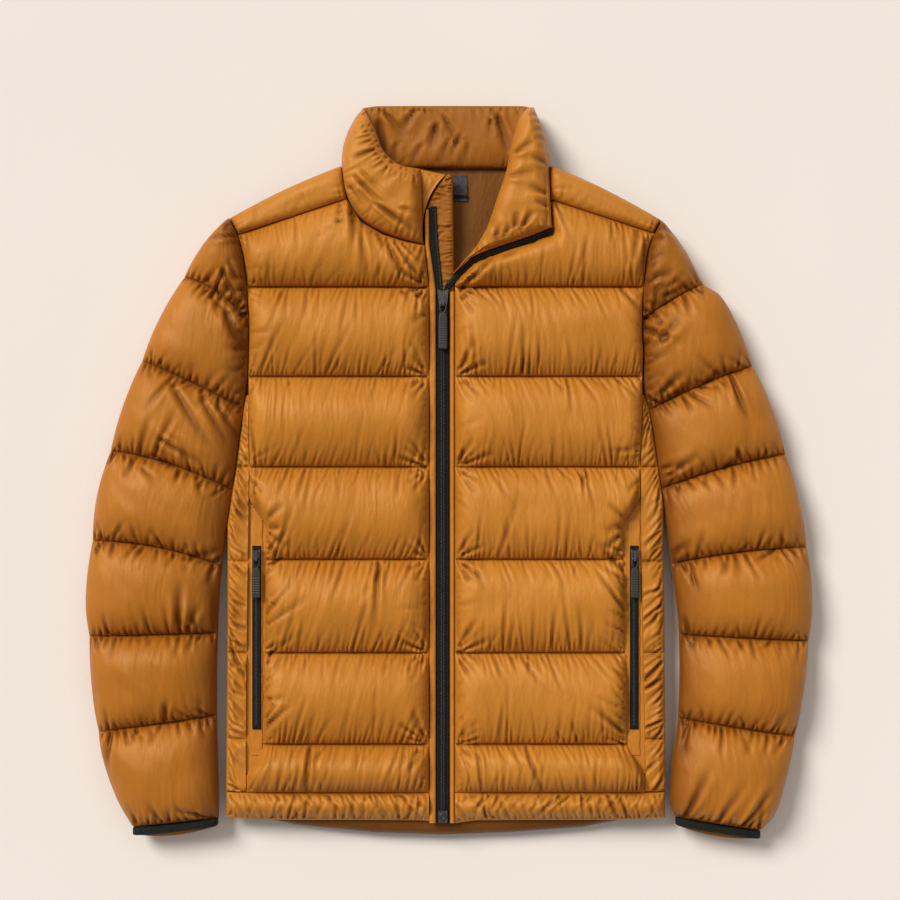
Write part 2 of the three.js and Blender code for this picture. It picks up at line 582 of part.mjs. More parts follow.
// Right corner of the collar, turned out like a lapel over the front.
function collarRight() {
  const grid = [];
  for (let t = 0; t <= LAPEL.length - 1; t += 0.5) {
    const a = lapelEdge("roll", t);
    const b = lapelEdge("edge", t);
    const width = a.distanceTo(b);
    grid.push([0, 0.06, 0.18, 0.36, 0.55, 0.74, 0.88, 0.96, 1].map((u) => {
      const p = a.clone().lerp(b, u);
      const overFront = THREE.MathUtils.clamp((327 - p.y) / 30, 0, 1);
      const lift = 5 * (1 - rise((1 - u) * width, 12)) * overFront;
      const foot = lerp(OVER_FOOT, LAPEL_FOOT, overFront) + lift;
      const thinning = 12 * THREE.MathUtils.smoothstep(t, 5, 9) + 8 * THREE.MathUtils.smoothstep(t, 9, 10);
      const crown = LAPEL_CROWN - thinning;
      const fromRoll = lerp(0.25, 1, rise(u * width, 16));
      const fromEdge = lerp(0.3 * overFront, 1, rise((1 - u) * width, 20));
      const height = (crown - foot) * rise(t, 1.5) * Math.min(fromRoll, fromEdge);
      return { x: p.x, y: p.y, top: foot + Math.max(height, EDGE), foot };
    }));
  }
  slab("collar_right", COLOURS.shell, grid);
}

// A flat strip between two edges x(y), from one height to another.
function strip(name, colour, heights, edges, foot, thick) {
  const grid = heights.map((y) => edges.map((edge) => ({ x: edge(y), y, top: foot + thick, foot })));
  slab(name, colour, grid);
}

function mainZip() {
  const steps = [150, 90, 30, -30, -90, -150, -210, -270, -330];
  const guardY = [321.5, 314.4, 302.4, 293, 284.2, 270, 246, ZIP_TOP, ...steps, ZIP_BOTTOM];
  const table = (rows) => (y) => along(rows, y, "y", "x");
  strip("zip_guard", COLOURS.shell, guardY, [table(GUARD_LEFT), table(GUARD_RIGHT)], OVER_FOOT, GUARD_THICK);
  const onGuard = OVER_FOOT + GUARD_THICK + GAP;
  const lipY = [283, 270, 246, ZIP_TOP, ...steps, ZIP_BOTTOM];
  strip("placket_left", COLOURS.shell, lipY, [table(GUARD_LEFT), table(LIP_RIGHT)], onGuard, LIP_THICK);
  const rightLip = [() => RIGHT_LIP.inner, () => RIGHT_LIP.outer];
  strip("placket_right", COLOURS.shell, [RIGHT_LIP.top, ...steps, ZIP_BOTTOM], rightLip, onGuard, LIP_THICK);
  const tapeY = [287, 270, 246, 203, ZIP_TOP, 190, ...steps, ZIP_BOTTOM];
  const beside = (y) => along(LIP_RIGHT, y, "y", "x") + GAP;
  strip("zip_tape_left", COLOURS.black, tapeY, [beside, table(TAPE_RIGHT)], onGuard, TAPE_THICK);
  rightTape(steps, onGuard);
  const onTape = onGuard + TAPE_THICK + GAP;
  const chainTop = MAIN_SLIDER.y - MAIN_SLIDER.length / 2 - GAP;
  const chainLength = chainTop - CHAIN_BOTTOM;
  const chainMiddle = (chainTop + CHAIN_BOTTOM) / 2;
  box("zip_chain", COLOURS.black, ZIP_CENTRE, chainMiddle, onTape, CHAIN_WIDTH, chainLength, CHAIN_THICK);
  box("zip_box", COLOURS.metal, ZIP_CENTRE, BOX.y, onTape, BOX.width, BOX.length, BOX.thick);
  slider("zip", MAIN_SLIDER, onTape);
}

// Right tape: its free stretch follows the turned-out corner, then it runs down beside the chain.
function rightTape(steps, foot) {
  const row = (inner, outer, z) => [inner, outer].map(([x, y]) => ({ x, y, top: z + TAPE_THICK, foot: z }));
  const free = [...FREE_TAPE].reverse().map((s) => row(s.inner, s.outer, s.z));
  free[free.length - 1] = row([-6.2, ZIP_TOP], [0.5, ZIP_TOP], foot);
  const closed = [...steps, ZIP_BOTTOM].map((y) => row([-6.2, y], [0.5, y], foot));
  slab("zip_tape_right", COLOURS.black, [...free, ...closed]);
}

function box(name, colour, x, y, foot, width, length, height) {
  const geometry = new THREE.BoxGeometry(width, length, height);
  geometry.translate(x, y, foot + height / 2);
  return add(name, colour, geometry);
}

// A slider with its bridge, and the pull tab that swings on it.
function slider(name, size, foot) {
  const plate = 3.6;
  const bridge = { width: 2.8, leg: 1.6, window: 3.6, roof: 1.4, back: 11 };
  const outline = new THREE.Shape();
  const half = size.width / 2;
  outline.moveTo(-half, size.length * 0.5);
  outline.lineTo(-half * 0.7, -size.length * 0.5);
  outline.lineTo(half * 0.7, -size.length * 0.5);
  outline.lineTo(half, size.length * 0.5);
  outline.lineTo(half * 0.35, size.length * 0.42);
  outline.lineTo(-half * 0.35, size.length * 0.42);
  outline.closePath();
  const body = new THREE.ExtrudeGeometry(outline, { depth: plate, bevelEnabled: false });
  body.translate(size.x, size.y, foot);
  const end = -size.length / 2 + 1;
  const top = foot + plate;
  const arch = new THREE.Shape();
  arch.moveTo(end, -0.5);
  arch.lineTo(end, bridge.window + bridge.roof);
  arch.lineTo(end + bridge.back, bridge.window + bridge.roof);
  arch.lineTo(end + bridge.back, -0.5);
  arch.lineTo(end + bridge.back - bridge.leg, -0.5);
  arch.lineTo(end + bridge.back - bridge.leg, bridge.window);
  arch.lineTo(end + bridge.leg, bridge.window);
  arch.lineTo(end + bridge.leg, -0.5);
  arch.closePath();
  const rail = new THREE.ExtrudeGeometry(arch, { depth: bridge.width, bevelEnabled: false });
  const upright = new THREE.Matrix4().makeBasis(
    new THREE.Vector3(0, 1, 0), new THREE.Vector3(0, 0, 1), new THREE.Vector3(1, 0, 0));
  rail.applyMatrix4(upright);
  rail.translate(size.x - bridge.width / 2, size.y, top);
  add(`${name}_slider`, COLOURS.metal, join([body, rail]));
  const bar = size.y + end + bridge.leg + 1.4;
  pull(`${name}_pull`, size, bar, top + bridge.window / 2);
}

// One solid from touching or crossing geometries.
function join(geometries) {
  const whole = geometries.map(asSolid).reduce((sum, next) => sum.add(next));
  const { vertProperties, triVerts } = whole.getMesh();
  const geometry = new THREE.BufferGeometry();
  geometry.setAttribute("position", new THREE.Float32BufferAttribute(vertProperties, 3));
  geometry.setIndex([...triVerts]);
  return geometry;
}

function asSolid(geometry) {
  const bare = geometry.clone();
  bare.deleteAttribute("normal");
  bare.deleteAttribute("uv");
  const merged = mergeVertices(bare, 1e-4);
  return new wasm.Manifold(new wasm.Mesh({
    numProp: 3,
    vertProperties: merged.attributes.position.array,
    triVerts: new Uint32Array(merged.index.array),
  }));
}

// Pull: an eye round the bridge and a flat tab, hinged at the eye's bar.
function pull(name, size, bar, height) {
  const thick = 2.2;
  const eye = { half: 4.6, length: 13, wall: 1.8, inner: 2.9 };
  const half = size.tabWidth / 2;
  const start = bar + eye.wall / 2;
  const foot = start - eye.length - size.tab;
  const outline = new THREE.Shape();
  outline.moveTo(size.x - eye.half + 1.2, start);
  outline.lineTo(size.x - eye.half, start - 1.2);
  outline.lineTo(size.x - eye.half, start - eye.length + 1);
  outline.lineTo(size.x - half, start - eye.length - 1);
  outline.lineTo(size.x - half, foot + 1.5);
  outline.lineTo(size.x - half + 1.5, foot);
  outline.lineTo(size.x + half - 1.5, foot);
  outline.lineTo(size.x + half, foot + 1.5);
  outline.lineTo(size.x + half, start - eye.length - 1);
  outline.lineTo(size.x + eye.half, start - eye.length + 1);
  outline.lineTo(size.x + eye.half, start - 1.2);
  outline.lineTo(size.x + eye.half - 1.2, start);
  outline.closePath();
  const hole = new THREE.Path();
  hole.moveTo(size.x - eye.inner, start - eye.wall);
  hole.lineTo(size.x + eye.inner, start - eye.wall);
  hole.lineTo(size.x + eye.inner, start - eye.length + 2);
  hole.lineTo(size.x - eye.inner, start - eye.length + 2);
  hole.closePath();
  outline.holes.push(hole);
  const geometry = new THREE.ExtrudeGeometry(outline, { depth: thick, bevelEnabled: false });
  geometry.translate(0, 0, height - thick / 2);
  add(name, COLOURS.black, geometry);
}

function pocket(name, side) {
  const middle = side.sign * side.pocketOut;
  const onFront = OVER_FOOT + STITCH + GAP;
  const { y, width, length, weltWidth, weltLength, sliderY } = POCKET_ZIP;
  box(`${name}_welt`, COLOURS.shell, middle, y, onFront, weltWidth, weltLength, WELT_THICK);
  const onWelt = onFront + WELT_THICK + GAP;
  box(`${name}_zip`, COLOURS.black, middle, y, onWelt, width, length, TAPE_THICK);
  slider(name, { ...POCKET_SLIDER, x: middle, y: sliderY }, onWelt + TAPE_THICK + GAP);
}

// Fabric loop in the neck, hanging from the collar's seam over the inside of the back.
function hangerLoop() {
  box("hanger_loop", COLOURS.loop, LOOP.x, LOOP.y, NECK.floor + GAP, LOOP.width, LOOP.length, LOOP.thick);
}

for (const [name, side] of Object.entries(SIDES)) {
  front(`front_${name}`, side);
  sidePanel(`side_${name}`, side);
  yoke(`yoke_${name}`, side);
  hem(`hem_${name}`, side);
  sleeve(`sleeve_${name}_front`, side, true);
  sleeve(`sleeve_${name}_back`, side, false);
  cuff(`cuff_${name}_front`, side, true);
  cuff(`cuff_${name}_back`, side, false);
  pocket(`pocket_${name}`, side);
}
back();
backYoke();
collarLeft();
collarBack();
collarRight();
mainZip();
hangerLoop();

export default group;
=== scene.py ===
"""A quilted puffer jacket laid flat, front up, dressed over its solids.

Lengths are in millimetres until a mesh is made. X runs across the jacket, Y towards the collar, Z up from the
surface it lies on. "out" is a distance from the middle plane X = 0 towards either sleeve.
"""

import json
import logging
import math
from collections.abc import Callable, Sequence
from dataclasses import dataclass
from enum import Enum

import bpy
import numpy as np
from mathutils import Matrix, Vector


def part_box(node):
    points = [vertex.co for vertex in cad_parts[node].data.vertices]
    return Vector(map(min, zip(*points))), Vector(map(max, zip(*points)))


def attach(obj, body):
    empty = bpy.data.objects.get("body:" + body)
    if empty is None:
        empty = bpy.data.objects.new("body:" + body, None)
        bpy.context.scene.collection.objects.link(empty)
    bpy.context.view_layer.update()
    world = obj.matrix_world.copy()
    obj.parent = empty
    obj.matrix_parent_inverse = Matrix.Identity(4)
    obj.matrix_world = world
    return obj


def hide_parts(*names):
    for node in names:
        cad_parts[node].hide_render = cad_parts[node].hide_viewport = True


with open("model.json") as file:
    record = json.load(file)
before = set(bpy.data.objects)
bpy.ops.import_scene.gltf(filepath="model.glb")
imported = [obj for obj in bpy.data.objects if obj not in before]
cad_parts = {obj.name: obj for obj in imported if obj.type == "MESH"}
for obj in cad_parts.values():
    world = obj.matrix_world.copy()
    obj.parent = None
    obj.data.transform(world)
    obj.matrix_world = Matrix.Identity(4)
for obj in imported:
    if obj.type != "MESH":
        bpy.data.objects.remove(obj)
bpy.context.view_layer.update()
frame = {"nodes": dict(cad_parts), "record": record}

LOG = logging.getLogger("puffer_jacket")

MM = 0.001
ROOT_BODY = "jacket"
STEP = 2.3
ACROSS = 1.05

# Heights of the two layers, as in the solids
GAP = 0.3
UNDER_TOP = 24.3
OVER_FOOT = UNDER_TOP + GAP
EDGE = 2.4
STITCH = 11.0
LOFT = 34.0
SLEEVE_LOFT = 32.0
HEM_LOFT = 19.0
ROLL = 26.0
RISE = 22.0
SEAM = 0.1

# Creases never go deeper than CREASE_LIMIT, and their painted shade is darkest from DARK_DEPTH on
CREASE_LIMIT = 6.0
DARK_DEPTH = 3.4
# Shares of the cloth's red, green and blue that are left at the bottom of a fold, as painted shade
FOLD_SHADE = (0.34, 0.25, 0.15)
# Folds that are listed one by one are made this much wider and deeper, and never narrower than FOLD_NARROWEST
FOLD_WIDER = 1.45
FOLD_DEEPER = 1.7
FOLD_NARROWEST = 2.4
# Distance of a tuck's start from its corner
TUCK_START = 6.0
# Share of a fold's sideways part that is kept
SIDEWAYS = 0.35

# Edges sharper than these angles stay sharp
SHARP_CLOTH = 60.0
SHARP_METAL = 40.0

# Usual length of a sleeve's rows, and a height inside the top row of the fronts
ROW_SPAN = 98.0
TOP_ROW = 256.0

# The flat strip of each front that its pocket zip lies on
BED_TOP = -48.0
BED_BOTTOM = -303.0
BED_WIDTH = 19.0

FRONT_LINES = (199.8, 103.7, 6.5, -92.9, -193.3, -291.6, -343.4)
SIDE_LINES = (84.0, 6.5, -95.0, -193.3, -286.2, -342.4)
HEM_TOP = -343.9
HEM_FOOT = ((245.0, -371.0), (200.0, -373.7), (30.0, -374.5), (6.0, -377.5))
BACK_TOP = (
    (-238.0, 274.6), (-116.6, 330.5), (-112.0, 329.6), (106.0, 329.6), (110.2, 330.8), (229.5, 272.6),
)
BACK_HEM = (
    (-241.0, -366.0), (-165.0, -381.2), (-80.0, -389.5), (-7.6, -392.0), (70.0, -389.0), (145.0, -383.4),
    (213.0, -371.0), (234.0, -365.0),
)
NECK_FLOOR = 11.0
LAPEL_FOOT = 36.0
LAPEL_TOP = 61.0
# Heights at which the armholes end and the back is seamed
ARMHOLE_END = 60.0
BACK_YOKE_SEAM = 196.0
BACK_HEM_SEAM = -343.0

Grid = np.ndarray
# Points of a closed mesh in millimetres, and its faces
Shape = tuple[np.ndarray, list[list[int]]]


def lerp(a: float | Grid, b: float | Grid, t: float | Grid) -> float | Grid:
    """Value that lies t of the way from a to b."""
    return a + (b - a) * t


def clamp(t: float | Grid) -> Grid:
    """t held between 0 and 1."""
    return np.clip(t, 0.0, 1.0)


def ease(t: float | Grid) -> Grid:
    """Smooth step from 0 to 1."""
    t = clamp(t)
    return t * t * (3.0 - 2.0 * t)


def rise(distance: float | Grid, width: float | Grid) -> Grid:
    """Quarter-round rise from 0 at an edge to 1 at a width from it."""
    return np.sqrt(1.0 - (1.0 - clamp(distance / width)) ** 2)


def puff(w: float | Grid, breadth: float = 2.1) -> Grid:
    """Fullness between two quilt lines, 0 on them and 1 midway; a greater breadth gives a flatter top."""
    return (1.0 - np.abs(1.0 - 2.0 * clamp(w)) ** breadth) ** 0.8


def softer_of(a: Grid, b: Grid, blend: float = 2.2) -> Grid:
    """The lower of two heights, blended where they cross."""
    return -blend * np.log(np.exp(-a / blend) + np.exp(-b / blend))


@dataclass(frozen=True)
class Line:
    """A line given by a few of its points, as (place, value) rows."""

    rows: tuple[tuple[float, float], ...]

    def straight(self, place: float | Grid) -> Grid:
        """Value at a place, straight between the rows."""
        rows = sorted(self.rows)
        return np.interp(place, [r[0] for r in rows], [r[1] for r in rows])

    def smooth(self, place: float | Grid) -> Grid:
        """Value at a place, by a smooth curve through the rows."""
        p = np.array(sorted(self.rows))
        slope = np.empty(len(p))
        slope[1:-1] = (p[2:, 1] - p[:-2, 1]) / (p[2:, 0] - p[:-2, 0])
        slope[0] = (p[1, 1] - p[0, 1]) / (p[1, 0] - p[0, 0])
        slope[-1] = (p[-1, 1] - p[-2, 1]) / (p[-1, 0] - p[-2, 0])
        place = np.asarray(place, float)
        i = np.clip(np.searchsorted(p[:, 0], place) - 1, 0, len(p) - 2)
        span = p[i + 1, 0] - p[i, 0]
        t = clamp((place - p[i, 0]) / span)
        t2, t3 = t * t, t * t * t
        return (
            (2 * t3 - 3 * t2 + 1) * p[i, 1] + (t3 - 2 * t2 + t) * slope[i] * span
            + (3 * t2 - 2 * t3) * p[i + 1, 1] + (t3 - t2) * slope[i + 1] * span
        )


@dataclass(frozen=True)
class Side:
    """One half of the jacket: its seams and edges, by height and distance out."""

    name: str
    sign: float
    sleeve_outer: Line
    sleeve_inner: Line
    princess: Line
    body: Line
    body_joins: float
    front_top: Line
    zip_edge: Line
    shoulder: tuple[tuple[float, float], tuple[float, float]]
    yoke_seam: tuple[tuple[float, float], tuple[float, float]]
    sleeve_rows: tuple[tuple[float, float, float], ...]
    pocket_out: float
    lean_above: float
    lean_below: float

    def body_out(self, y: Grid) -> Grid:
        """Outer edge of the body's layers: beside the sleeve, then free below it."""
        beside = self.sleeve_inner.smooth(y) - 3 * SEAM
        free = self.body.straight(y)
        return np.where(y > self.body_joins, np.minimum(beside, free), free)

    def seed(self, base: int) -> int:
        """A seed of this half's own."""
        return base + (self.sign > 0)

    def front_out(self, y: Grid) -> Grid:
        """Outer edge of a front: the armhole, then the seam with the side panel."""
        seam = self.princess.smooth(y) - SEAM
        armhole = np.minimum(self.sleeve_inner.smooth(y) - 2 * SEAM, seam)
        return np.where(y > ARMHOLE_END, armhole, seam)


LEFT = Side(
    name="left",
    sign=-1.0,
    sleeve_outer=Line((
        (275.4, 239.2), (248.0, 263.5), (212.0, 287.0), (167.0, 312.0), (122.0, 332.5), (74.0, 351.0),
        (24.0, 367.0), (-26.0, 380.0), (-73.0, 386.5), (-137.0, 392.0), (-176.0, 390.0), (-279.0, 380.0),
        (-315.0, 371.5), (-353.0, 357.5), (-382.0, 343.5), (-393.0, 340.0),
    )),
    sleeve_inner=Line((
        (275.4, 237.8), (254.0, 227.0), (222.5, 219.2), (181.0, 216.0), (163.0, 214.6), (111.0, 216.0),
        (84.0, 219.8), (68.0, 221.4), (-18.0, 233.3), (-100.0, 245.2), (-172.0, 249.5), (-261.0, 250.6),
        (-353.0, 248.4), (-393.0, 249.0),
    )),
    princess=Line((
        (276.0, 246.0), (187.0, 222.0), (111.0, 216.2), (68.0, 215.5), (-8.0, 215.0), (-288.0, 218.2),
        (-380.0, 217.0),
    )),
    body=Line(((276.0, 238.5), (-159.0, 238.7), (-392.0, 240.8))),
    body_joins=-78.0,
    front_top=Line((
        (226.0, 256.0), (110.2, 294.5), (94.0, 269.5), (71.3, 256.6), (47.5, 249.2), (27.0, 245.0),
        (21.0, 244.5),
    )),
    zip_edge=Line(((300.0, 27.3), (246.0, 26.3), (197.0, 21.6), (-380.0, 21.6))),
    shoulder=((235.8, 275.4), (116.4, 331.4)),
    yoke_seam=((226.2, 256.4), (110.4, 295.0)),
    sleeve_rows=(
        (274.8, 274.6, 0.0), (211.0, 163.0, 8.0), (121.0, 69.0, 2.0), (24.0, -19.0, 7.0),
        (-73.0, -100.0, 7.0), (-176.0, -172.0, 0.0), (-279.0, -261.0, 0.0), (-381.0, -371.0, 0.0),
    ),
    pocket_out=206.6,
    lean_above=17.0,
    lean_below=14.0,
)

RIGHT = Side(
    name="right",
    sign=1.0,
    sleeve_outer=Line((
        (273.2, 230.6), (241.0, 253.8), (204.0, 276.5), (192.0, 293.0), (157.0, 312.0), (115.6, 329.4),
        (70.0, 348.8), (20.5, 365.0), (-29.0, 378.0), (-80.0, 387.7), (-137.0, 392.0), (-181.0, 390.0),
        (-284.0, 375.0), (-329.0, 364.0), (-369.0, 352.0), (-386.0, 338.0), (-397.0, 332.0),
    )),
    sleeve_inner=Line((
        (273.2, 229.4), (245.0, 216.0), (223.6, 211.7), (164.0, 207.4), (121.0, 209.5), (84.0, 211.5),
        (68.0, 216.0), (-17.0, 229.0), (-99.0, 240.0), (-174.0, 248.4), (-263.5, 247.3), (-314.0, 240.8),
        (-356.0, 238.7), (-377.0, 246.0), (-393.0, 248.0),
    )),
    princess=Line((
        (276.0, 240.0), (187.0, 216.0), (121.0, 208.6), (68.0, 207.9), (30.0, 206.4), (-62.0, 206.3),
        (-299.0, 210.6), (-380.0, 210.6),
    )),
    body=Line(((276.0, 231.0), (-81.0, 231.1), (-159.0, 232.2), (-392.0, 233.5))),
    body_joins=-64.0,
    front_top=Line((
        (219.5, 257.6), (113.4, 292.3), (90.0, 286.0), (70.0, 276.0), (50.0, 262.0), (36.0, 246.0),
        (22.0, 231.5), (14.0, 221.0), (6.0, 204.0),
    )),
    zip_edge=Line(((300.0, 6.5), (-380.0, 6.5))),
    shoulder=((228.0, 273.4), (109.8, 332.2)),
    yoke_seam=((219.3, 258.0), (109.0, 294.4)),
    sleeve_rows=(
        (272.6, 272.4, 0.0), (204.0, 164.0, 3.0), (115.6, 68.0, 3.0), (20.5, -17.0, 4.0),
        (-80.0, -98.0, 4.0), (-181.0, -174.0, 0.0), (-284.0, -264.0, 0.0), (-385.0, -370.0, 0.0),
    ),
    pocket_out=199.0,
    lean_above=3.0,
    lean_below=-27.0,
)

SIDES = (LEFT, RIGHT)

# Collar: sections from its seam to its rim, from the zip round to the far fold
COLLAR_LEFT = (
    ((-27.3, 246.6), (-24.4, 288.0), (-3.2, 321.8)),
    ((-47.5, 251.0), (-42.0, 290.0), (-29.2, 327.2)),
    ((-71.3, 259.6), (-64.0, 296.0), (-52.9, 331.6)),
    ((-94.8, 274.4), (-84.0, 311.0), (-70.2, 346.7)),
    ((-109.6, 298.6), (-98.5, 336.0), (-80.0, 370.4)),
    ((-115.8, 331.6), (-110.5, 364.0), (-92.5, 394.0)),
)
COLLAR_BACK = (
    ((-115.4, 332.0), (-103.7, 363.5), (-92.0, 395.0)),
    ((-90.0, 330.2), (-86.0, 363.4), (-82.0, 396.6)),
    ((-62.6, 330.0), (-66.3, 363.6), (-70.0, 397.2)),
    ((0.0, 330.0), (0.0, 363.7), (0.0, 397.4)),
    ((61.6, 330.0), (65.8, 363.6), (70.0, 397.2)),
    ((88.0, 330.2), (86.0, 363.3), (84.0, 396.4)),
    ((108.4, 332.0), (100.0, 363.2), (91.5, 394.5)),
)
# The turned-out right corner: rows from the rim down, roll line then free edge
LAPEL = (
    ((85.0, 394.6), (91.5, 394.4)), ((74.5, 379.0), (101.5, 371.0)), ((66.0, 350.0), (109.3, 341.3)),
    ((62.6, 329.4), (108.2, 327.2)), ((57.0, 311.0), (108.0, 309.0)), ((50.8, 292.7), (108.2, 292.7)),
    ((42.1, 267.0), (110.2, 263.5)), ((35.0, 253.0), (85.3, 253.8)), ((28.0, 242.0), (43.2, 239.8)),
    ((15.0, 227.0), (22.7, 231.1)), ((3.5, 213.5), (7.6, 216.9)),
)
GUARD_LEFT = Line((
    (321.5, -2.4), (314.4, -9.1), (302.4, -17.3), (284.2, -24.7), (270.0, -26.2), (246.0, -25.6),
    (197.0, -21.2), (-376.0, -21.2),
))
GUARD_RIGHT = Line(((321.5, 4.2), (197.0, 6.1), (-376.0, 6.1)))
LIP_RIGHT = Line(((284.0, -21.6), (246.0, -21.0), (197.0, -14.0), (-376.0, -14.0)))
TAPE_RIGHT = Line(((288.0, -13.6), (246.0, -11.5), (203.0, -7.0), (190.0, -6.7), (-376.0, -6.7)))
# The free stretch of the right tape: inner edge, outer edge, height
FREE_TAPE = (
    ((110.0, 262.8), (112.0, 257.6), 42.0), ((85.5, 253.2), (87.4, 248.0), 41.0),
    ((43.4, 239.2), (45.5, 234.0), 38.5), ((23.0, 230.5), (26.5, 225.6), 36.5),
    ((7.9, 216.4), (12.5, 212.0), 35.2), ((-3.0, 204.0), (3.2, 200.5), 34.2),
)


class Lattice:
    """Smooth seeded noise over the jacket's plane."""

    def __init__(self, seed: int) -> None:
        """Draws the lattice's values.

        Args:
            seed: number that the values are drawn from.
        """
        self.values = np.random.default_rng(seed).uniform(-1.0, 1.0, (257, 257))

    def at(self, x: Grid, y: Grid, cell_x: float, cell_y: float) -> Grid:
        """Noise from -1 to 1.

        Args:
            x: places across, in mm.
            y: places along, in mm.
            cell_x: size of a cell across, in mm.
            cell_y: size of a cell along, in mm.

        Returns:
            The noise at each place.
        """
        u, v = x / cell_x + 1000.0, y / cell_y + 1000.0
        i, j = np.floor(u).astype(int), np.floor(v).astype(int)
        s, t = ease(u - i), ease(v - j)
        pick = lambda a, b: self.values[a % 257, b % 257]
        low = lerp(pick(i, j), pick(i + 1, j), s)
        high = lerp(pick(i, j + 1), pick(i + 1, j + 1), s)
        return lerp(low, high, t)


@dataclass
class Crease:
    """A soft trough with a ridge on each side, starting at a seam.

    Attributes:
        x, y: where it starts.
        dx, dy: its direction, of length 1.
        length: how far it runs.
        width: half-width of its trough.
        depth: depth at its start.
        bend: sideways drift at its end.
        hold: distance over which it grows from nothing.
        tail: how early it fades, from 0 for not at all.
    """

    x: float
    y: float
    dx: float
    dy: float
    length: float
    width: float
    depth: float
    bend: float = 0.0
    hold: float = 4.0
    tail: float = 1.2

    def relief(self, x: Grid, y: Grid) -> tuple[Grid, Grid]:
        """Height that the crease adds.

        Args:
            x: places across, flat array.
            y: places along, flat array.

        Returns:
            The indices of the places that it reaches, and the height at each.
        """
        reach = self.length + 4 * self.width
        near = np.flatnonzero((np.abs(x - self.x) < reach) & (np.abs(y - self.y) < reach))
        ax, ay = x[near] - self.x, y[near] - self.y
        ahead = ax * self.dx + ay * self.dy
        t = ahead / self.length
        across = ax * self.dy - ay * self.dx - self.bend * t * t
        width = self.width * (0.75 + 0.9 * clamp(t))
        q = across / width
        fade = ease(ahead / self.hold) * (1 - clamp(t)) ** self.tail
        shape = -np.exp(-q * q) + 0.55 * np.exp(-((np.abs(q) - 1.9) ** 2))
        return near, self.depth * fade * shape


@dataclass(frozen=True)
class Gathers:
    """Fine folds that run off the stitches of a row, as in cloth gathered on its thread.

    Attributes:
        spacing: usual width of a fold.
        run: usual length of a fold.
        lean: angle of the folds from the direction across the row, near its lower and its upper stitches,
            in degrees.
        height: height of a fold close to the stitches.
        middle: share of that height which is left midway between the stitches.
        reach: distance over which it falls off.
        seed: seed of the folds' places.
    """

    spacing: float = 3.6
    run: float = 34.0
    lean: tuple[float, float] = (0.0, 0.0)
    height: float = 1.0
    middle: float = 0.45
    reach: float = 26.0
    seed: int = 5

    def relief(self, across: Grid, along: Grid, upper: Grid, lower: Grid, row: Grid | float) -> Grid:
        """Height of the folds.

        Args:
            across: place along the stitches.
            along: place across the row, growing upwards.
            upper: distance from the row's upper stitches.
            lower: distance from its lower stitches.
            row: number of the row, so that no two are alike.

        Returns:
            The height at each point.
        """
        noise = Lattice(self.seed)
        shift = row * 977.0
        low, high = (math.tan(math.radians(lean)) for lean in self.lean)
        stray = 0.22 * noise.at(across + shift, along, 60.0, 90.0)
        span = np.maximum(lower + upper, 1.0)
        side = across - (low + stray) * lower - (high - low) * lower * lower / (2 * span)
        side = side + 2.0 * noise.at(across, along + shift, 18.0, 22.0)
        broad = noise.at(side + shift, along, self.spacing * 1.9, self.run * 1.5)
        fine = noise.at(side + 2 * shift + 400.0, along, self.spacing * 0.9, self.run)
        finest = noise.at(side + 3 * shift + 800.0, along, self.spacing * 0.5, self.run * 0.55)
        ridged = 0.5 - 1.25 * np.sqrt(fine * fine + 0.01)
        near = np.exp(-lower / self.reach) + 0.8 * np.exp(-upper / (0.55 * self.reach))
        strength = self.middle + (1 - self.middle) * clamp(near)
        hold = rise(np.minimum(lower, upper), 7.0)
        patch = 0.75 + 0.5 * noise.at(across + 2 * shift, along, 33.0, 27.0)
        return self.height * hold * patch * strength * (
            0.9 * broad + ridged + 0.8 * finest * np.exp(-np.minimum(lower, upper) / 24.0)
        )


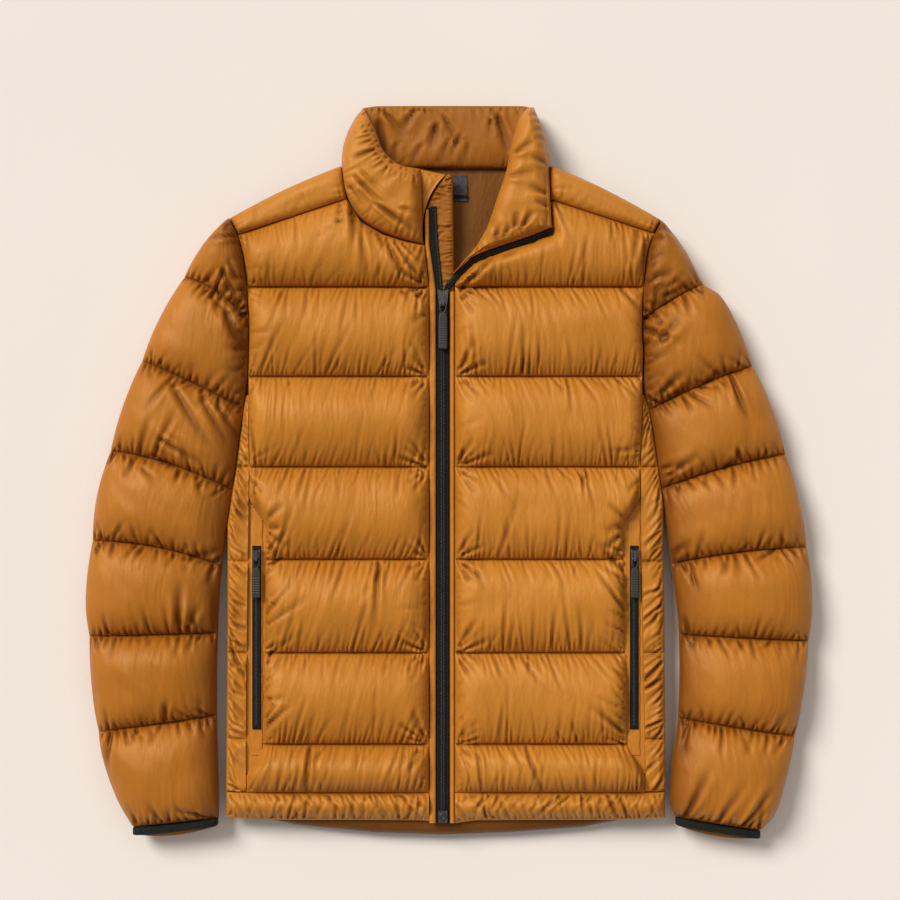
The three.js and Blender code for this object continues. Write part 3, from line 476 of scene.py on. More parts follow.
@dataclass
class Skin:
    """Outer skin of a padded piece: a grid of points, and the flat face behind it.

    Attributes:
        x, y, z: the grid, rows by columns.
        foot: height of the plain inside, one number or a grid.
        painted_shade: painted shade at each point, from how deep it lies in a fold, groove or shaded edge,
            from 0 to 1.
    """

    x: Grid
    y: Grid
    z: Grid
    foot: float | Grid
    painted_shade: Grid | float = 0.0

    def row(self, k: int) -> Grid:
        """Points of one row, seen from above."""
        return np.stack([self.x[k], self.y[k]], -1)

    def column(self, k: int) -> Grid:
        """Points of one column, seen from above."""
        return np.stack([self.x[:, k], self.y[:, k]], -1)

    def normals(self) -> tuple[Grid, Grid, Grid]:
        """Unit normals of the grid, pointing up for a skin whose face is up."""
        p = np.stack([self.x, self.y, self.z], -1)
        du = np.gradient(p, axis=1)
        dv = np.gradient(p, axis=0)
        n = np.cross(du, dv)
        n /= np.maximum(np.linalg.norm(n, axis=-1, keepdims=True), 1e-9)
        flip = -1.0 if np.nansum(n[..., 2]) < 0 else 1.0
        return flip * n[..., 0], flip * n[..., 1], flip * n[..., 2]

    def push(self, height: Grid) -> None:
        """Moves the grid along its normals, by less sideways than up.

        Args:
            height: how far each point moves.
        """
        nx, ny, nz = self.normals()
        self.x = self.x + height * nx * SIDEWAYS
        self.y = self.y + height * ny * SIDEWAYS
        self.z = self.z + height * nz

    def score(self, distance: Grid, depth: float, width: float, share: Grid) -> Grid:
        """Lowers the skin in a narrow groove.

        Args:
            distance: way from each point to the groove's middle.
            depth: its depth.
            width: its half-width.
            share: share of the depth that each point takes.

        Returns:
            How far each point lies in the groove, from 0 to 1.
        """
        groove = np.exp(-((distance / width) ** 2)) * share
        self.z = self.z - depth * groove
        return groove

    def mesh_data(self) -> Shape:
        """Points and faces of the closed piece, in millimetres."""
        foot = np.broadcast_to(np.asarray(self.foot, float), self.x.shape)
        top = np.stack([self.x, self.y, self.z], -1).reshape(-1, 3)
        index, quads, loop = grid_faces(*self.x.shape)
        under = {k: index.size + n for n, k in enumerate(loop)}
        below = top[loop].copy()
        below[:, 2] = foot.reshape(-1)[loop]
        faces = quads.tolist()
        for a, b in zip(loop, loop[1:] + loop[:1]):
            faces.append([a, b, under[b], under[a]])
        edges = (index[:, 0], index[:, -1], index[0], index[-1])
        left, right, first, last = ([under[int(k)] for k in edge] for edge in edges)
        faces.append(first + [right[1], left[1]])
        for i in range(1, len(index) - 2):
            faces.append([left[i], right[i], right[i + 1], left[i + 1]])
        faces.append([left[-2], right[-2]] + last[::-1])
        points = np.vstack([top, below])
        return points, orient(points, faces)


def grid_faces(rows: int, columns: int) -> tuple[Grid, Grid, list[int]]:
    """Quads of a grid of points, and the loop round its edge.

    Args:
        rows: number of rows.
        columns: number of points in a row.

    Returns:
        The number of each point, the quads, and the loop's points in order.
    """
    index = np.arange(rows * columns).reshape(rows, columns)
    quads = np.stack([index[:-1, :-1], index[1:, :-1], index[1:, 1:], index[:-1, 1:]], -1).reshape(-1, 4)
    loop = np.concatenate([index[0, :], index[1:, -1], index[-1, -2::-1], index[-2:0:-1, 0]]).tolist()
    return index, quads, loop


def orient(points: Grid, faces: list[list[int]]) -> list[list[int]]:
    """Turns a closed mesh's faces outwards.

    Args:
        points: its points.
        faces: its faces, all wound one way.

    Returns:
        The faces, each reversed if they pointed inwards.
    """
    volume = 0.0
    for face in faces:
        a = points[face[0]]
        for k in range(1, len(face) - 1):
            volume += float(np.dot(a, np.cross(points[face[k]], points[face[k + 1]])))
    return [face[::-1] for face in faces] if volume < 0 else faces


def make_object(name: str, shape: Shape) -> bpy.types.Object:
    """Makes a mesh object.

    Args:
        name: name of the piece.
        shape: its points and faces.

    Returns:
        The object, linked to the scene.
    """
    points, faces = shape
    mesh = bpy.data.meshes.new(name)
    mesh.from_pydata((np.asarray(points, float) * MM).tolist(), [], faces)
    mesh.validate()
    mesh.shade_smooth()
    mesh.set_sharp_from_angle(angle=math.radians(SHARP_CLOTH))
    piece = bpy.data.objects.new(name, mesh)
    bpy.context.scene.collection.objects.link(piece)
    return piece


class Slot(Enum):
    """Material slots of the record."""

    SHELL = "shell_nylon"
    LINING = "lining_nylon"
    TAPE = "zip_tape"
    COIL = "zip_coil"
    METAL = "slider_metal"
    PULL = "pull_tab"
    BINDING = "cuff_binding"
    LOOP = "loop_tape"


class Shader:
    """Small helper that wires one node material."""

    def __init__(self, name: str) -> None:
        """Starts a material with a Principled shader.

        Args:
            name: name of the material.
        """
        self.material = bpy.data.materials.new(name)
        self.material.use_nodes = True
        self.tree = self.material.node_tree
        self.surface = self.tree.nodes["Principled BSDF"]
        self.coordinates = self.tree.nodes.new("ShaderNodeTexCoord")
        self.bump: bpy.types.Node | None = None

    def node(self, kind: str, **inputs: object) -> bpy.types.Node:
        """Adds a node and sets its inputs by name."""
        made = self.tree.nodes.new(kind)
        for key, value in inputs.items():
            made.inputs[key.replace("_", " ")].default_value = value
        return made

    def link(self, source: bpy.types.NodeSocket, target: bpy.types.NodeSocket) -> None:
        """Joins two sockets."""
        self.tree.links.new(source, target)

    def place(self, scale: tuple[float, float, float], turn: float = 0.0) -> bpy.types.NodeSocket:
        """The piece's own coordinates, scaled, and turned about Z by some degrees."""
        cell = tuple(1.0 / value for value in scale)
        mapping = self.node("ShaderNodeMapping", Rotation=(0.0, 0.0, math.radians(turn)), Scale=cell)
        mapping.vector_type = "TEXTURE"
        self.link(self.coordinates.outputs["Object"], mapping.inputs["Vector"])
        return mapping.outputs["Vector"]

    def noise(self, scale: tuple[float, float, float] | float, detail: float = 3.0,
              turn: float = 0.0) -> bpy.types.NodeSocket:
        """Noise at a number of cells for each metre, one number or one for each axis."""
        scale = scale if isinstance(scale, tuple) else (scale, scale, scale)
        made = self.node("ShaderNodeTexNoise", Scale=1.0, Detail=detail, Roughness=0.55)
        self.link(self.place(scale, turn), made.inputs["Vector"])
        return made.outputs["Fac"]

    def wave(self, per_metre: float, turn: float) -> bpy.types.NodeSocket:
        """Fine parallel threads."""
        made = self.node("ShaderNodeTexWave", Scale=1.0, Distortion=0.4, Detail=1.0)
        made.wave_type = "BANDS"
        self.link(self.place((per_metre, per_metre, per_metre), turn), made.inputs["Vector"])
        return made.outputs["Fac"]

    def ramp(self, source: bpy.types.NodeSocket, low: Sequence[float], high: Sequence[float],
             start: float = 0.35, end: float = 0.65) -> bpy.types.NodeSocket:
        """Colour that runs from low to high as the source goes from start to end."""
        made = self.tree.nodes.new("ShaderNodeValToRGB")
        made.color_ramp.elements[0].position = start
        made.color_ramp.elements[1].position = end
        made.color_ramp.elements[0].color = (*low, 1.0)
        made.color_ramp.elements[1].color = (*high, 1.0)
        self.link(source, made.inputs["Fac"])
        return made.outputs["Color"]

    def paint_fold_shade(self, source: bpy.types.NodeSocket, colour: Sequence[float]) -> bpy.types.NodeSocket:
        """Colour painted towards a deep shade of the cloth where the fold attribute is high, as painted
        shade.
        """
        depth = self.tree.nodes.new("ShaderNodeAttribute")
        depth.attribute_name = "fold"
        made = self.tree.nodes.new("ShaderNodeMix")
        made.data_type = "RGBA"
        self.link(depth.outputs["Fac"], made.inputs[0])
        self.link(source, made.inputs[6])
        shade = [share * value for share, value in zip(FOLD_SHADE, colour)]
        made.inputs[7].default_value = (*shade, 1.0)
        return made.outputs[2]

    def spread(self, source: bpy.types.NodeSocket, low: float, high: float) -> bpy.types.NodeSocket:
        """Number that runs from low to high as the source goes from 0.3 to 0.7."""
        made = self.tree.nodes.new("ShaderNodeMapRange")
        for name, value in (("From Min", 0.3), ("From Max", 0.7), ("To Min", low), ("To Max", high)):
            made.inputs[name].default_value = value
        self.link(source, made.inputs["Value"])
        return made.outputs["Result"]

    def feed(self, socket: str, source: bpy.types.NodeSocket) -> None:
        """Joins a socket to one of the surface's inputs."""
        self.link(source, self.surface.inputs[socket])

    def raise_by(self, source: bpy.types.NodeSocket, height_mm: float, strength: float) -> None:
        """Adds a bump of some height, on top of those added before."""
        made = self.node("ShaderNodeBump", Strength=strength, Distance=height_mm * MM)
        self.link(source, made.inputs["Height"])
        if self.bump is not None:
            self.link(self.bump.outputs["Normal"], made.inputs["Normal"])
        self.bump = made
        self.link(made.outputs["Normal"], self.surface.inputs["Normal"])

    def set(self, **inputs: object) -> None:
        """Sets the surface's own sockets by name."""
        for key, value in inputs.items():
            self.surface.inputs[key.replace("_", " ")].default_value = value


@dataclass(frozen=True)
class NylonFinish:
    """Satin nylon: a fine square weave, faint crumple and a soft sheen."""

    name: str
    colour: tuple[float, float, float]
    deep: tuple[float, float, float]
    roughness: tuple[float, float] = (0.4, 0.52)
    sheen: float = 0.1
    streak: float = -8.0

    def material(self) -> bpy.types.Material:
        """The finish as a material."""
        shader = Shader(self.name)
        patches = shader.ramp(shader.noise(9.0, 4.0), self.deep, self.colour)
        # Painted shade: the base colour goes towards FOLD_SHADE where the fold attribute marks folds, grooves
        # and shaded edges
        shader.feed("Base Color", shader.paint_fold_shade(patches, self.colour))
        shader.feed("Roughness", shader.spread(shader.noise(40.0), *self.roughness))
        shader.raise_by(shader.noise((150.0, 45.0, 60.0), 3.0, self.streak), 1.6, 0.4)
        shader.raise_by(shader.noise((330.0, 90.0, 120.0), 2.0, self.streak), 0.7, 0.35)
        shader.raise_by(shader.wave(900.0, 0.0), 0.08, 0.25)
        shader.raise_by(shader.wave(900.0, 90.0), 0.08, 0.25)
        shader.set(Specular_IOR_Level=0.5, Specular_Tint=(1.0, 0.72, 0.4, 1.0), Sheen_Weight=self.sheen,
                   Sheen_Roughness=0.45, Sheen_Tint=(1.0, 0.6, 0.25, 1.0))
        return shader.material


@dataclass(frozen=True)
class WovenFinish:
    """Ribbed woven tape."""

    name: str
    colour: tuple[float, float, float]
    light: tuple[float, float, float]
    rib: float = 900.0
    turn: float = 45.0
    gloss: float = 0.2

    def material(self) -> bpy.types.Material:
        """The finish as a material."""
        shader = Shader(self.name)
        shader.feed("Base Color", shader.ramp(shader.noise(300.0), self.colour, self.light))
        shader.raise_by(shader.wave(self.rib, self.turn), 0.2, 0.5)
        shader.raise_by(shader.wave(self.rib, -self.turn), 0.2, 0.4)
        shader.set(Roughness=0.6, Specular_IOR_Level=self.gloss)
        return shader.material


@dataclass(frozen=True)
class HardFinish:
    """Painted metal or moulded plastic, a little worn."""

    name: str
    colour: tuple[float, float, float]
    light: tuple[float, float, float]
    metallic: float
    roughness: tuple[float, float]

    def material(self) -> bpy.types.Material:
        """The finish as a material."""
        shader = Shader(self.name)
        patches = shader.noise(700.0, 4.0)
        shader.feed("Base Color", shader.ramp(patches, self.colour, self.light))
        shader.feed("Roughness", shader.spread(shader.noise(1500.0), *self.roughness))
        shader.raise_by(shader.noise(2600.0), 0.05, 0.3)
        shader.set(Metallic=self.metallic)
        return shader.material


FINISHES = {
    Slot.SHELL: NylonFinish("shell_nylon", (0.51, 0.190, 0.021), (0.45, 0.158, 0.014)),
    # Lining: darker than the shell, partly its own tone and partly painted shade of the neck opening it is
    # seen through
    Slot.LINING: NylonFinish(
        "lining_nylon", (0.155, 0.047, 0.003), (0.125, 0.037, 0.002), (0.5, 0.6), 0.05,
    ),
    Slot.TAPE: WovenFinish("zip_tape", (0.004, 0.005, 0.005), (0.009, 0.010, 0.010)),
    Slot.COIL: HardFinish("zip_coil", (0.010, 0.011, 0.011), (0.020, 0.021, 0.021), 0.0, (0.36, 0.48)),
    Slot.METAL: HardFinish("slider_metal", (0.07, 0.07, 0.07), (0.16, 0.16, 0.16), 0.85, (0.2, 0.34)),
    Slot.PULL: HardFinish("pull_tab", (0.013, 0.013, 0.013), (0.026, 0.026, 0.025), 0.0, (0.4, 0.55)),
    Slot.BINDING: WovenFinish("cuff_binding", (0.006, 0.007, 0.006), (0.013, 0.014, 0.012), 1100.0),
    Slot.LOOP: WovenFinish("loop_tape", (0.05, 0.049, 0.048), (0.085, 0.083, 0.08), 1000.0),
}
# Shaded copies of the same cloth, painted darker as painted shade where less light reaches it: the sleeves
# and the inner faces; and the darker thread, where it shows
SHADED_SLEEVE_NYLON = NylonFinish("shell_nylon_sleeve_shaded", (0.44, 0.152, 0.014), (0.39, 0.128, 0.010), streak=12.0)
SHADED_INNER_NYLON = NylonFinish("shell_nylon_inner_shaded", (0.34, 0.112, 0.010), (0.28, 0.088, 0.006), (0.5, 0.6), 0.05)
THREAD = NylonFinish("shell_thread", (0.22, 0.070, 0.006), (0.17, 0.052, 0.004), (0.6, 0.7), 0.0)
Finish = NylonFinish | WovenFinish | HardFinish
MATERIALS: dict[str, bpy.types.Material] = {}


def material_of(finish: Finish) -> bpy.types.Material:
    """The material of a finish, made when it is first asked for."""
    if finish.name not in MATERIALS:
        MATERIALS[finish.name] = finish.material()
    return MATERIALS[finish.name]


def dress(piece: bpy.types.Object, slot: Slot, nodes: Sequence[str] = (), body: str = ROOT_BODY,
          finish: Finish | None = None) -> bpy.types.Object:
    """Gives a piece its finish, its body and the solids that it stands for.

    Args:
        piece: the piece.
        slot: its material slot.
        nodes: solids that it replaces.
        body: body that it rides on.
        finish: its finish, where it isn't the slot's own.

    Returns:
        The piece.
    """
    piece.data.materials.clear()
    piece.data.materials.append(material_of(finish or FINISHES[slot]))
    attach(piece, body)
    if nodes:
        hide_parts(*nodes)
    LOG.info("%s: %d faces", piece.name, len(piece.data.polygons))
    return piece


@dataclass(frozen=True)
class Pucker:
    """How a seam gathers the cloth beside it.

    Attributes:
        pitch: mean distance between creases along the seam.
        length: usual length of a crease.
        depth: usual depth at the seam.
        width: usual half-width.
        fan: spread of their directions, in degrees.
    """

    pitch: float = 8.5
    length: float = 30.0
    depth: float = 1.7
    width: float = 2.3
    fan: float = 15.0

    def along(self, path: Grid, into: tuple[float, float], rng: np.random.Generator,
              lean: float = 0.0) -> list[Crease]:
        """Creases that start on a seam.

        Args:
            path: points of the seam, n by 2.
            into: rough direction into the panel.
            rng: source of the uneven spacing and size.
            lean: clockwise turn of the creases from the seam's own normal, in degrees.

        Returns:
            The creases.
        """
        phase = rng.uniform(0.0, 6.0)
        steps = np.linalg.norm(np.diff(path, axis=0), axis=1)
        travelled = np.concatenate([[0.0], np.cumsum(steps)])
        creases = []
        place = rng.uniform(0.2, 1.0) * self.pitch
        while place < travelled[-1]:
            x = float(np.interp(place, travelled, path[:, 0]))
            y = float(np.interp(place, travelled, path[:, 1]))
            k = min(int(np.searchsorted(travelled, place)), len(path) - 1)
            run = path[k] - path[k - 1]
            normal = np.array([run[1], -run[0]]) / max(np.linalg.norm(run), 1e-9)
            if normal @ np.array(into) < 0:
                normal = -normal
            angle = math.radians(rng.normal(-lean, self.fan))
            dx = normal[0] * math.cos(angle) - normal[1] * math.sin(angle)
            dy = normal[0] * math.sin(angle) + normal[1] * math.cos(angle)
            size = float(np.exp(rng.normal(0.0, 0.42)))
            crowd = 0.8 + 0.4 * math.sin(place / 15.0 + phase) * math.sin(place / 37.0 + 2 * phase)
            creases.append(Crease(
                x, y, dx, dy,
                length=self.length * size,
                width=self.width * (0.7 + 0.3 * size) * rng.uniform(0.8, 1.25),
                depth=self.depth * crowd * rng.uniform(0.5, 1.25) * (0.6 + 0.4 * size),
                bend=rng.normal(0.0, 0.12) * self.length,
            ))
            place += self.pitch * rng.uniform(0.55, 1.5)
        return creases


def fan_at(x: float, y: float, first: float, last: float, rng: np.random.Generator, count: int,
           length: float) -> list[Crease]:
    """Tucks that spread from one corner.

    Args:
        x: place of the corner across.
        y: place of the corner along.
        first: direction of the first tuck, in degrees from +X.
        last: direction of the last one.
        rng: source of their uneven size.
        count: number of tucks.
        length: usual length of a tuck.

    Returns:
        The creases.
    """
    creases = []
    for k in range(count):
        angle = math.radians(lerp(first, last, (k + 0.5) / count) + rng.normal(0.0, 4.0))
        dx, dy = math.cos(angle), math.sin(angle)
        size = rng.uniform(0.6, 1.4)
        width, depth = 1.8 * size ** 0.5, rng.uniform(3.0, 5.0)
        start_x, start_y = x + TUCK_START * dx, y + TUCK_START * dy
        creases.append(Crease(start_x, start_y, dx, dy, length * size, width, depth, hold=6.0, tail=0.7))
    return creases


def drawn(folds: Sequence[tuple[float, float, float, float, float, float]]) -> list[Crease]:
    """Creases listed one by one.

    Args:
        folds: start x and y, end x and y, half-width and depth of each.

    Returns:
        The creases.
    """
    creases = []
    for x, y, end_x, end_y, width, depth in folds:
        length = math.hypot(end_x - x, end_y - y)
        dx, dy = (end_x - x) / length, (end_y - y) / length
        wide, deep = max(FOLD_WIDER * width, FOLD_NARROWEST), FOLD_DEEPER * depth
        creases.append(Crease(x, y, dx, dy, length, wide, deep, hold=0.25 * length, tail=0.6))
    return creases


def lay_creases(skin: Skin, creases: Sequence[Crease], mask: Grid | float = 1.0) -> None:
    """Presses creases into a skin.

    Args:
        skin: the skin.
        creases: the creases.
        mask: share of their height that each point takes.
    """
    x, y = skin.x.ravel(), skin.y.ravel()
    height = np.zeros_like(x)
    for crease in creases:
        near, relief = crease.relief(x, y)
        height[near] += relief
    height = (CREASE_LIMIT * np.tanh(height / CREASE_LIMIT)).reshape(skin.x.shape) * mask
    # Painted shade: the deeper a point lies in a crease, the darker its colour is painted
    skin.painted_shade = skin.painted_shade + clamp(-height / DARK_DEPTH) ** 0.8
    skin.push(height)


def store_painted_shade(piece: bpy.types.Object, skin: Skin) -> bpy.types.Object:
    """Stores the skin's painted shade as the fold attribute, for the nylon to be painted darker there.

    Args:
        piece: the piece, its points beginning with the skin's.
        skin: the skin.

    Returns:
        The piece.
    """
    values = np.zeros(len(piece.data.vertices), np.float32)
    values[: skin.x.size] = np.broadcast_to(clamp(skin.painted_shade), skin.x.shape).ravel()
    piece.data.attributes.new("fold", "FLOAT", "POINT").data.foreach_set("value", values)
    return piece


def spaced(start: float, end: float, step: float) -> Grid:
    """Places from start to end, about a step apart, without the last."""
    count = max(2, round(abs(end - start) / step))
    return np.linspace(start, end, count, endpoint=False)


def edge_dense(count: int, share: float = 0.6) -> Grid:
    """Places from 0 to 1, closer together at both ends."""
    s = np.linspace(0.0, 1.0, count)
    return s - share * np.sin(2 * np.pi * s) / (2 * np.pi)


def quilt_rows(spans: Grid, step: float, crowd: float) -> tuple[Grid, Grid, list[int]]:
    """Rows of points of a quilted piece, closer together at its quilt lines.

    Args:
        spans: length of each row of down.
        step: usual distance between points.
        crowd: how much closer they are at the quilt lines.

    Returns:
        For each row of points its row of down and its share of the way down that, and the stitched ones.
    """
    blocks, shares, stitched = [], [], []
    for block, span in enumerate(spans):
        stitched.append(len(blocks))
        within = edge_dense(max(3, round(span / step)) + 1, crowd)[:-1]
        blocks += [block] * len(within)
        shares += within.tolist()
    stitched.append(len(blocks))
    return np.array(blocks + [len(spans) - 1]), np.array(shares + [1.0]), stitched


def outline_distance(outline: Grid, x: Grid, y: Grid) -> Grid:
    """Shortest way from each point to a closed outline, 0 inside it."""
    nearest = np.full(x.shape, np.inf)
    inside = np.zeros(x.shape, bool)
    for a, b in zip(outline, np.roll(outline, -1, axis=0)):
        run = b - a
        t = clamp(((x - a[0]) * run[0] + (y - a[1]) * run[1]) / (run @ run))
        nearest = np.minimum(nearest, np.hypot(x - a[0] - run[0] * t, y - a[1] - run[1] * t))
        crosses = (a[1] > y) != (b[1] > y)
        slope = run[0] / run[1] if abs(run[1]) > 1e-9 else 0.0
        inside ^= crosses & (x < a[0] + (y - a[1]) * slope)
    return np.where(inside, 0.0, nearest)


# Outline of the lapel with the tape that hangs from its lower edge
LAPEL_OUTLINE = np.array(
    [row[0] for row in LAPEL] + [row[1] for row in FREE_TAPE][::-1] + [row[1] for row in LAPEL[:7]][::-1]
)


@dataclass
class QuiltedFront:
    """One front: rows of down between quilt lines, from the outer seam to the zip."""

    side: Side
    seam_pucker: Pucker = Pucker(pitch=4.8, length=32.0, depth=2.5, width=1.4, fan=8.0)
    upper_pucker: Pucker = Pucker(pitch=5.2, length=24.0, depth=2.2, width=1.4, fan=10.0)
    edge_pucker: Pucker = Pucker(pitch=7.0, length=14.0, depth=1.4, width=1.4, fan=30.0)
    bed_pucker: Pucker = Pucker(pitch=7.0, length=26.0, depth=4.4, width=1.7, fan=10.0)
    bed_lean: float = 42.0
    bed_gathers: tuple[float, float] = (-62.0, -296.0)
    beside_zip: float = 9.5
    groove: tuple[float, float] = (1.3, 1.3)
    # Tucks above and below each quilt line at the zip: first and last angle, number, length
    tucks: tuple[tuple[float, float, int, float], ...] = ((14.0, 68.0, 4, 28.0), (-14.0, -60.0, 3, 22.0))

    def surface(self) -> tuple[Skin, list[int], Grid, Grid]:
        """Smooth skin of the front.

        Returns:
            The skin, its stitched rows, the share between quilt lines at each point, and each point's row.
        """
        side = self.side
        u = edge_dense(round(205 / ACROSS), 0.35)
        place = lambda y: lerp(side.front_out(y), side.zip_edge.straight(y), u)
        top = np.full(u.shape, TOP_ROW)
        for _ in range(8):
            top = side.front_top.straight(place(top))
        tops = np.array([top] + [np.full(u.shape, level) for level in FRONT_LINES[:-1]])
        feet = np.array(FRONT_LINES)
        blocks, shares, stitched = quilt_rows(tops.mean(axis=1) - feet, STEP, 0.55)
        w = shares[:, None] + 0 * u
        y = lerp(tops[blocks], feet[blocks][:, None], w)
        out = lerp(side.front_out(y), side.zip_edge.straight(y), u[None, :])
        from_seam = side.front_out(y) - out - self.bed_width(y)
        from_zip = out - side.zip_edge.straight(y)
        shape = puff(w) * rise(np.maximum(from_seam, 0), RISE) * rise(from_zip, RISE + 6)
        height = STITCH + (LOFT - STITCH) * shape
        if side.sign > 0:
            clear = outline_distance(LAPEL_OUTLINE, out, y) - 1.0
            pressed = 9 + 25 * rise(np.maximum(clear, 0), 17)
            height = np.maximum(softer_of(height, pressed), EDGE)
        return Skin(side.sign * out, y, OVER_FOOT + height, OVER_FOOT), stitched, w, blocks[:, None] + 0 * u

    def build(self) -> bpy.types.Object:
        """Makes the front and dresses it."""
        skin, stitched, w, row = self.surface()
        side = self.side
        rng = np.random.default_rng(side.seed(11))
        creases = drawn(FRONT_FOLDS[side.name])
        for line in stitched:
            if line > 0:
                creases += self.seam_pucker.along(skin.row(line), (0, 1), rng, side.lean_above)
            if line < stitched[-1]:
                creases += self.upper_pucker.along(skin.row(line), (0, -1), rng, side.lean_below)
        inward = -side.sign
        beside = np.array([[side.sign * (side.pocket_out - self.beside_zip), y] for y in self.bed_gathers])
        creases += self.bed_pucker.along(beside, (inward, 0.0), rng, self.bed_lean * side.sign)
        for column, into in ((0, (inward, 0.0)), (-1, (-inward, 0.0))):
            creases += self.edge_pucker.along(skin.column(column), into, rng)
        for level in FRONT_LINES[:-1]:
            zip_x = side.sign * float(side.zip_edge.straight(level))
            away, turn = (0.0, 1.0) if side.sign > 0 else (180.0, -1.0)
            for first, last, count, length in self.tucks:
                creases += fan_at(zip_x, level, away + first * turn, away + last * turn, rng, count, length)
        lattice = Lattice(side.seed(31))
        swell = lattice.at(skin.x, skin.y, 46, 34) * 1.6 + lattice.at(skin.x + 500, skin.y, 17, 30) * 0.6
        tops = np.concatenate([[TOP_ROW], FRONT_LINES[:-1]])[row.astype(int)]
        spans = tops - np.array(FRONT_LINES)[row.astype(int)]
        upper, lower = w * spans, (1 - w) * spans
        gathers = Gathers(lean=(side.lean_above, side.lean_below))
        folds = gathers.relief(skin.x, skin.y, upper, lower, row)
        mask = edge_mask(skin) * self.free_of_bed(skin)
        skin.push((swell * puff(w) + folds) * mask)
        lay_creases(skin, creases, mask)
        # Painted shade in the grooves of the quilt lines
        skin.painted_shade = skin.painted_shade + 0.8 * skin.score(np.minimum(upper, lower), *self.groove, mask)
        name = f"front_{side.name}"
        return sewn(skin, f"{name}_quilting", [name])

    def bed_width(self, y: Grid) -> Grid:
        """Width of the strip that the pocket zip lies on, which ends softly above and below."""
        return BED_WIDTH * ease((BED_TOP + 26 - y) / 38) * ease((y - BED_BOTTOM + 26) / 38)

    def free_of_bed(self, skin: Skin) -> Grid:
        """0 on the strip that the pocket zip lies on, 1 away from it and from the lapel."""
        out = np.abs(skin.x)
        free = ease((self.side.front_out(skin.y) - out - self.bed_width(skin.y) + 1.5) / 2.5)
        if self.side.sign > 0:
            free = free * ease(outline_distance(LAPEL_OUTLINE, out, skin.y) / 8.0)
        return free


FRONT_FOLDS = {
    "left": (
        (-104.8, 294.8, -98.3, 238.7, 2.2, 2.6), (-94.0, 266.8, -87.5, 202.0, 2.0, 1.8),
        (-78.8, 260.3, -57.2, 223.6, 1.6, 1.8), (-69.1, 256.0, -44.3, 199.8, 1.8, 3.0),
        (-61.6, 251.6, -25.9, 204.1, 1.5, 2.8), (-54.0, 248.4, -22.7, 221.4, 1.4, 2.4),
        (-44.3, 245.2, -21.6, 232.2, 1.3, 1.8), (-117.7, 294.8, -113.4, 251.6, 2.2, 1.4),
        (-41.0, 197.6, -21.6, 183.6, 1.5, 2.2), (-52.9, 197.6, -38.9, 185.8, 1.4, 1.6),
        (-21.6, 171.7, -41.0, 162.0, 1.4, 1.8), (-195.5, -57.2, -176.0, -58.3, 1.6, 2.4),
        (-195.5, -49.7, -176.0, -32.4, 1.7, 2.0), (-193.3, -63.7, -173.9, -81.0, 1.6, 2.0),
        (-196.6, -68.0, -183.6, -94.0, 1.5, 1.8), (-212.8, -9.7, -202.0, -42.1, 1.8, 2.0),
        (-219.2, -3.2, -197.6, -18.4, 1.7, 2.0),
    ),
    "right": (
        (7.6, 191.2, 43.2, 227.9, 2.0, 3.2), (8.6, 183.6, 33.5, 203.0, 1.6, 2.4),
        (20.5, 204.1, 46.4, 232.2, 1.7, 2.6), (55.1, 227.9, 72.4, 238.7, 2.0, 1.6),
        (206.3, 281.9, 197.6, 227.9, 2.0, 1.8), (214.9, 262.4, 206.3, 212.8, 1.8, 1.6),
        (189.0, -57.2, 169.6, -58.3, 1.6, 2.4), (189.0, -49.7, 169.6, -32.4, 1.7, 2.0),
        (186.8, -63.7, 167.4, -81.0, 1.6, 2.0), (190.1, -68.0, 177.1, -94.0, 1.5, 1.8),
        (206.3, -9.7, 195.5, -42.1, 1.8, 2.0), (211.7, -3.2, 191.2, -18.4, 1.7, 2.0),
    ),
}


def edge_mask(skin: Skin, reach: float = 3.0) -> Grid:
    """Share of relief near a skin's outline, so that neighbours stay clear of each other.

    Args:
        skin: the skin.
        reach: distance from the outline over which it grows to 1.

    Returns:
        The share at each point, 0 on the outline.
    """
    mask = np.ones(skin.x.shape)
    for axis in (0, 1):
        steps = np.hypot(np.diff(skin.x, axis=axis), np.diff(skin.y, axis=axis))
        start = np.zeros_like(np.take(steps, [0], axis))
        travelled = np.concatenate([start, np.cumsum(steps, axis=axis)], axis=axis)
        rest = np.take(travelled, [-1], axis) - travelled
        mask = mask * ease(np.minimum(travelled, rest) / reach)
    return mask


